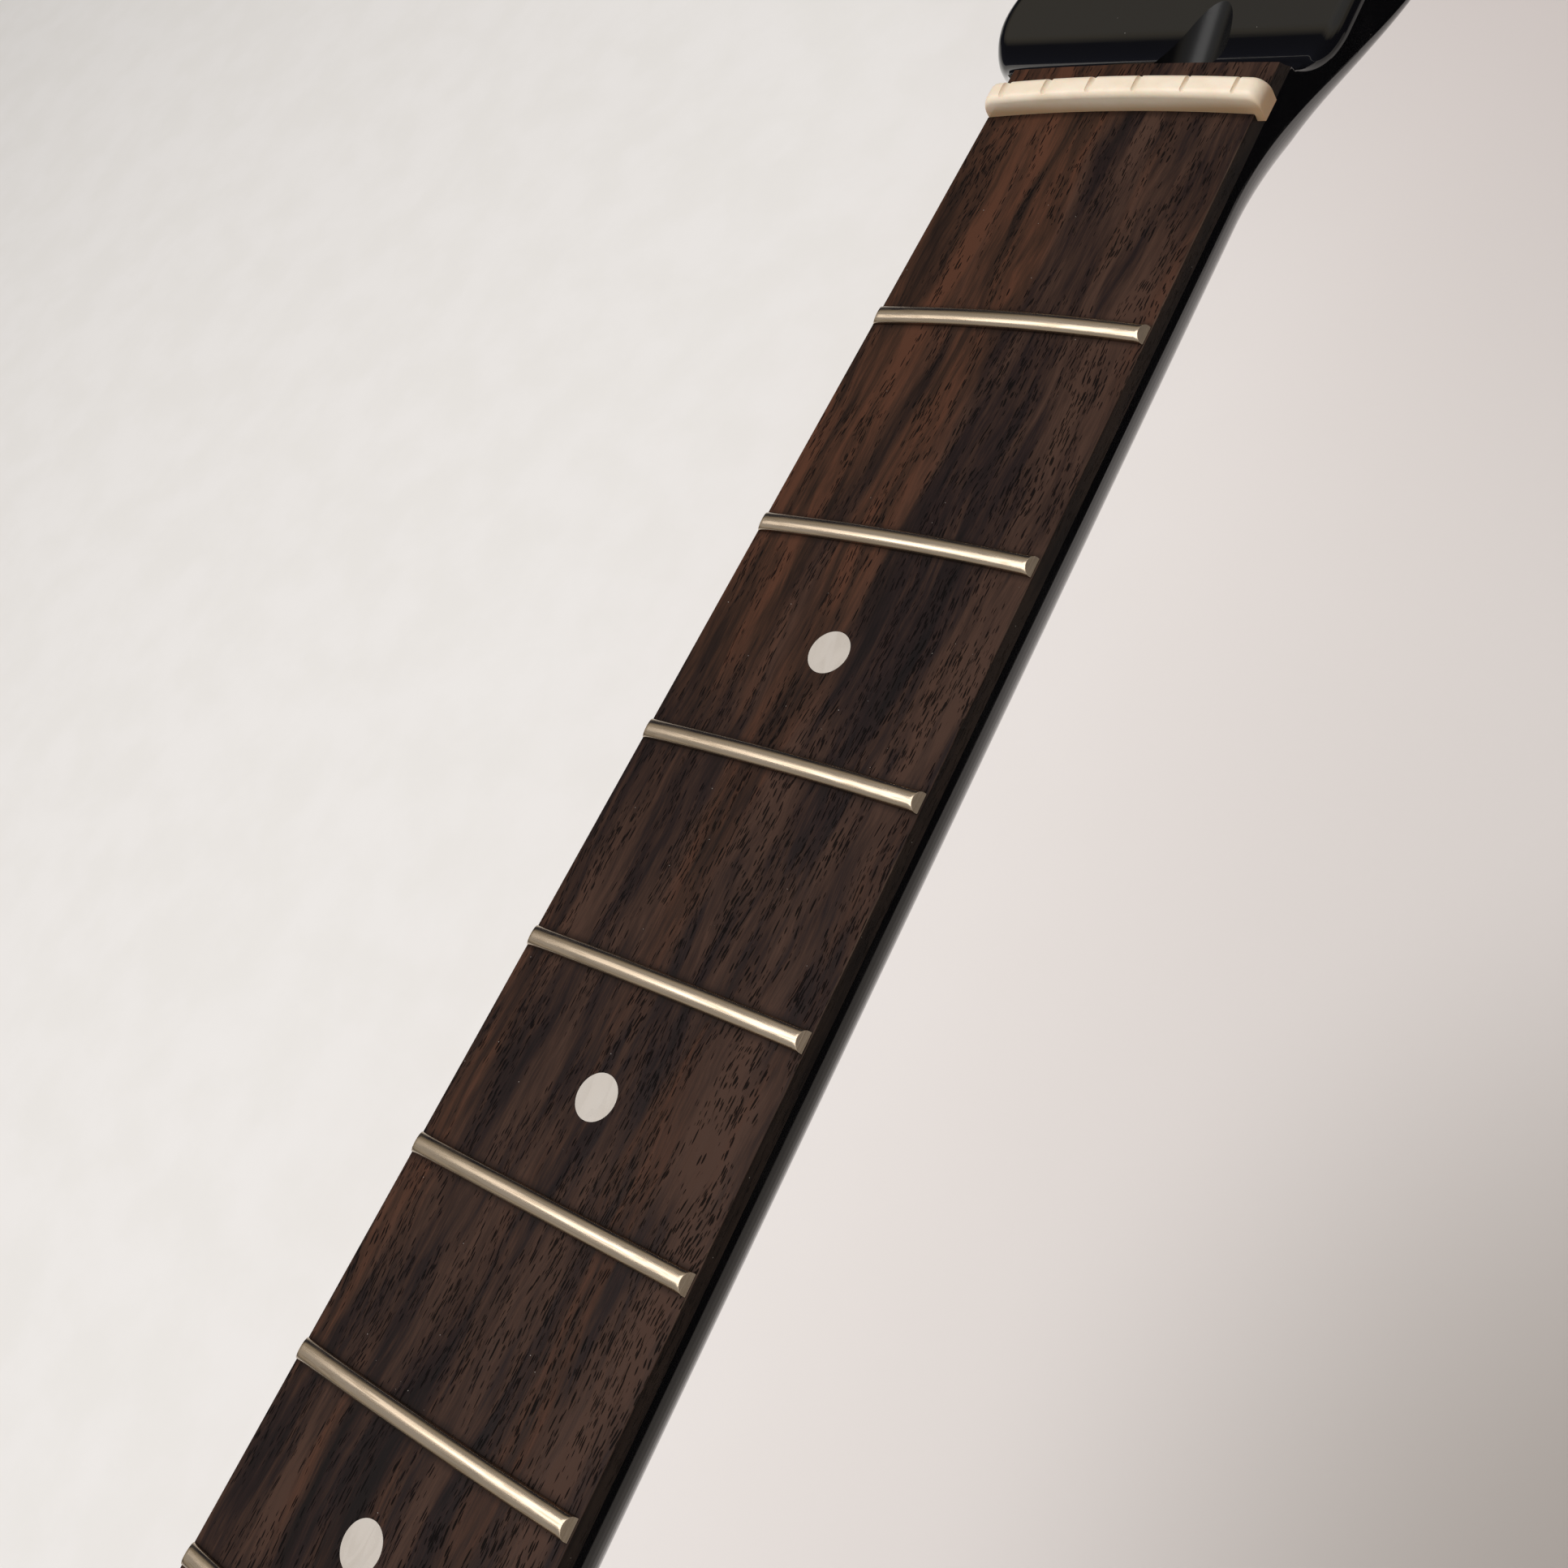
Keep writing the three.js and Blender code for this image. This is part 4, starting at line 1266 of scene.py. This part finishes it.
def bare_maple():
    finish = Finish("bare_maple")
    rings = finish.noise((1.6, 60, 2.4), seed=21, detail=4)
    flecks = finish.noise((0.3, 5, 0.3), seed=22)
    colour = finish.colour(finish.step(rings, 0.35, 0.7), (0.56, 0.37, 0.2), (0.36, 0.21, 0.1))
    colour = finish.colour(finish.step(flecks, 0.6, 0.75, 0, 0.4), colour, (0.25, 0.14, 0.07))
    finish.relief(flecks, 0.03)
    return finish.finished(colour, finish.step(rings, 0.3, 0.7, 0.5, 0.65))


def bone():
    """Polished bone with faint grain, and painted shade that darkens it towards its foot."""
    finish = Finish("bone", Subsurface_Weight=0.2, Subsurface_Scale=0.0006, Specular_IOR_Level=0.45)
    clouds = finish.noise((5, 3, 3), seed=31, detail=3)
    grain = finish.noise((0.12, 0.5, 2.6), seed=32)
    colour = finish.colour(finish.step(clouds, 0.3, 0.7), (0.84, 0.735, 0.6), (0.78, 0.66, 0.51))
    # Painted shade darkens the nut towards its foot
    foot = finish.fade(finish.axis("Z"), *(TOP_Z + height for height in BONE_SHADE_FADE))
    colour = finish.colour(foot * 0.85, colour, (0.42, 0.25, 0.12))
    colour = finish.colour(finish.step(grain, 0.6, 0.78, 0, 0.12), colour, (0.5, 0.4, 0.28))
    finish.relief(grain, 0.006)
    finish.relief(clouds, 0.01)
    return finish.finished(colour, finish.step(clouds, 0.3, 0.7, 0.28, 0.4))


def fret_finish(name, lines, line_depth, roughness):
    """Nickel silver with fine lines that follow the way it was drawn or filed."""
    finish = Finish(name, Metallic=1)
    drawn = finish.noise(lines, seed=41, detail=1)
    tarnish = finish.noise((16, 3, 3), seed=42)
    colour = finish.colour(finish.step(tarnish, 0.3, 0.7), (0.53, 0.435, 0.335), (0.47, 0.385, 0.29))
    colour = finish.colour(finish.step(drawn, 0.48, 0.7, 0, 0.55), colour, (0.3, 0.23, 0.16))
    finish.relief(drawn, line_depth)
    return finish.finished(colour, finish.step(drawn, 0.3, 0.75, roughness, roughness + 0.12))


def pearl():
    """Pearl plastic with a soft figure that runs with the neck."""
    finish = Finish("pearl", Specular_IOR_Level=0.4)
    figure = finish.noise((1.8, 6, 1.8), seed=51, detail=1, distortion=0.8)
    tint = finish.noise((2.4, 5, 2.4), seed=52, detail=1)
    colour = finish.colour(finish.step(figure, 0.35, 0.65), (0.455, 0.41, 0.365), (0.495, 0.45, 0.405))
    colour = finish.colour(finish.step(tint, 0.4, 0.65, 0, 0.2), colour, (0.51, 0.48, 0.455))
    finish.relief(figure, 0.002)
    return finish.finished(colour, finish.step(figure, 0.3, 0.7, 0.22, 0.34))


def rod_steel():
    """Plain drawn steel with light oil stains."""
    finish = Finish("rod_steel", Metallic=1)
    drawn = finish.noise((0.08, 12, 0.08), seed=61, detail=3)
    stain = finish.noise((3, 9, 3), seed=62, detail=3)
    colour = finish.colour(finish.step(stain, 0.4, 0.75), (0.46, 0.46, 0.47), (0.2, 0.18, 0.16))
    finish.relief(drawn, 0.01)
    return finish.finished(colour, finish.step(drawn, 0.3, 0.7, 0.26, 0.45))


def block_brass():
    finish = Finish("block_brass", Metallic=1)
    milled = finish.noise((3, 0.12, 0.12), seed=71)
    stain = finish.noise((3, 3, 3), seed=72, detail=3)
    colour = finish.colour(finish.step(stain, 0.35, 0.75), (0.66, 0.47, 0.2), (0.36, 0.23, 0.09))
    finish.relief(milled, 0.008)
    return finish.finished(colour, finish.step(milled, 0.3, 0.7, 0.28, 0.42))


def paper():
    """Pale studio paper with a faint mottle, pinker and darker towards the treble side as painted shade, with soft
    painted shadows on it.
    """
    finish = Finish("paper", Specular_IOR_Level=0.1)
    mottle = finish.noise((26, 26, 26), seed=81, detail=4)
    colour = finish.colour(finish.step(mottle, 0.3, 0.7), from_screen(PAPER_LIGHT), from_screen(PAPER_DARK))
    # Painted shade, pinker and darker towards the treble side
    colour = finish.colour(finish.step(finish.axis("X"), *PINK_SHADE_REACH), colour, from_screen(PAPER_PINK_SHADE))
    # Soft painted shadows on the paper
    for centre, reach, shade in PAINTED_PAPER_SHADOWS:
        colour = finish.colour(finish.step(finish.away(centre), *reach), colour, from_screen(shade))
    return finish.finished(colour, 0.9)


MATERIALS = {
    "rosewood": rosewood(),
    "lacquer": lacquer("lacquer", 0, 0.5),
    "groove": lacquer("unpolished_lacquer", 0.2, 0.28),
    "maple": bare_maple(),
    "bone": bone(),
    "crown": fret_finish("fret_crown", (34, 0.2, 0.2), 0.003, 0.17),
    "filed": fret_finish("fret_filed_end", (0.36, 6, 0.36), 0.06, 0.42),
    "pearl": pearl(),
    "steel": rod_steel(),
    "brass": block_brass(),
    "paper": paper(),
}


# Pieces with their bodies, slots and materials
def level_shading(piece):
    """Large faces keep their own direction, so that flat stretches shade flat."""
    piece.modifiers.new("level_shading", "WEIGHTED_NORMAL").keep_sharp = True
    return piece


def dress(piece, body, slot, materials, nodes):
    for material in materials:
        piece.data.materials.append(MATERIALS[material])
    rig.ride(piece, body)
    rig.slot(piece, slot)
    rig.replaces(piece, *nodes)


def paint_faces(piece, index, chosen):
    for face in piece.data.polygons:
        if chosen(face):
            face.material_index = index


def in_hole(centre, holes, diameter):
    reach = diameter / 2 + SEAT_GAP
    return any(math.hypot(centre.x - x, centre.y + SEAT_ALONG - along) < reach for x, along in holes)


def in_bare_wood(face):
    """Walls of the tuner holes, the screw holes and the rod's channel, where the lacquer doesn't reach."""
    centre = face.center / MM
    lip = TUNER_HOLE_LIP + SEAT_GAP
    if in_hole(centre, TUNER_PLACES, TUNER_HOLE_DIAMETER):
        return lip < centre.z < FACE_Z - lip
    if in_hole(centre, screw_places(), SCREW_HOLE_DIAMETER):
        return centre.z > SEAT_GAP
    in_channel = abs(centre.x) < CHANNEL_WIDTH / 2 + SEAT_GAP and centre.z > CHANNEL_FLOOR_Z - SEAT_GAP
    return in_channel and centre.y + SEAT_ALONG < ROD_NUT_BACK


def build_neck():
    piece = level_shading(neck())
    dress(piece, BODY, "lacquer", ["lacquer", "maple", "groove"], ["neck"])
    paint_faces(piece, 1, in_bare_wood)
    paint_faces(piece, 2, lambda face: in_access_groove(face.center))


def build_frets():
    for fret in FRETS:
        piece = level_shading(fret_wire(fret))
        dress(piece, BODY, "fret_wire", ["crown", "filed"], [f"fret_{fret:02d}"])
        paint_faces(piece, 1, lambda face: abs(face.normal.x) > FILED_FACE_TURN)


def build_dots():
    for dot in DOTS:
        dress(face_dot(dot), BODY, "pearl", ["pearl"], [f"dot_{dot.name}"])
        dress(side_dot(dot), BODY, "pearl", ["pearl"], [f"side_dot_{dot.name}"])


def finish_truss_rod():
    dress(rod_nut(), ADJUSTER, "steel", ["steel"], ["truss_rod_adjusting_nut"])
    for node, material in KEPT_NODES:
        mesh = frame["nodes"][f"truss_rod_{node}"].data
        mesh.materials.clear()
        mesh.materials.append(MATERIALS[material])


# Stage, lamps and camera
def flat_sheet(name, outline, z, material):
    mesh = bpy.data.meshes.new(name)
    mesh.from_pydata([(x, y, z) for x, y in outline], [], [range(len(outline))])
    mesh.materials.append(material)
    sheet = holder(name, mesh)
    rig.stage(sheet)
    return sheet


def build_dark_card():
    """A black card beside the neck that only its gloss picks up: a painted dark reflection that stands in for shade on
    the floor beside the neck.
    """
    finish = Finish("dark_card", Specular_IOR_Level=0)
    card = flat_sheet("dark_card", CARD_OUTLINE, CARD_Z, finish.finished((0.01, 0.01, 0.012), 1))
    card.visible_camera = False
    card.visible_diffuse = False
    card.visible_shadow = False
    card.visible_transmission = False


def build_world():
    """Soft light from above that turns brown and then dark towards the horizon beyond the tip."""
    world = bpy.data.worlds.new("studio")
    scene.world = world
    nodes = Nodes(world)
    direction = nodes.node("ShaderNodeTexCoord").outputs["Generated"]
    inputs = {0: direction, 1: (0, -SKY_TILT, 1)}
    height = nodes.value("ShaderNodeVectorMath", inputs, "Value", operation="DOT_PRODUCT")
    nodes.feed(nodes.tree.nodes["Background"].inputs["Color"], nodes.ramp(height, SKY_STOPS))


def build_lamps():
    for name, towards, distance, size, power, colour in LAMPS:
        light = bpy.data.lights.new(name, "AREA")
        light.size = size
        light.energy = power
        light.color = colour
        lamp = holder(name, light)
        direction = Vector(towards).normalized()
        lamp.location = Vector(LAMP_AIM) + direction * distance
        lamp.rotation_euler = direction.to_track_quat("Z", "Y").to_euler()


def build_camera():
    camera = bpy.data.cameras.new("camera")
    camera.lens = CAMERA_LENS
    camera.sensor_width = CAMERA_SENSOR
    camera.sensor_fit = "HORIZONTAL"
    camera.clip_start = CAMERA_CLIP_START
    viewer = holder("camera", camera)
    viewer.location = CAMERA_PLACE
    viewer.rotation_euler = Euler([math.radians(angle) for angle in CAMERA_TURN])
    scene.camera = viewer


build_camera()
build_neck()
dress(level_shading(fingerboard()), BODY, "rosewood", ["rosewood"], ["fingerboard"])
dress(nut(), BODY, "bone", ["bone"], ["nut"])
build_frets()
build_dots()
finish_truss_rod()
flat_sheet("floor", FLOOR_OUTLINE, FLOOR_Z, MATERIALS["paper"])
build_dark_card()
build_world()
build_lamps()
scene.view_settings.view_transform = "Standard"

with open("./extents.json", "w") as sizes:
    json.dump([[list(corner) for corner in box] for box in (cad_box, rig.bounds())], sizes)
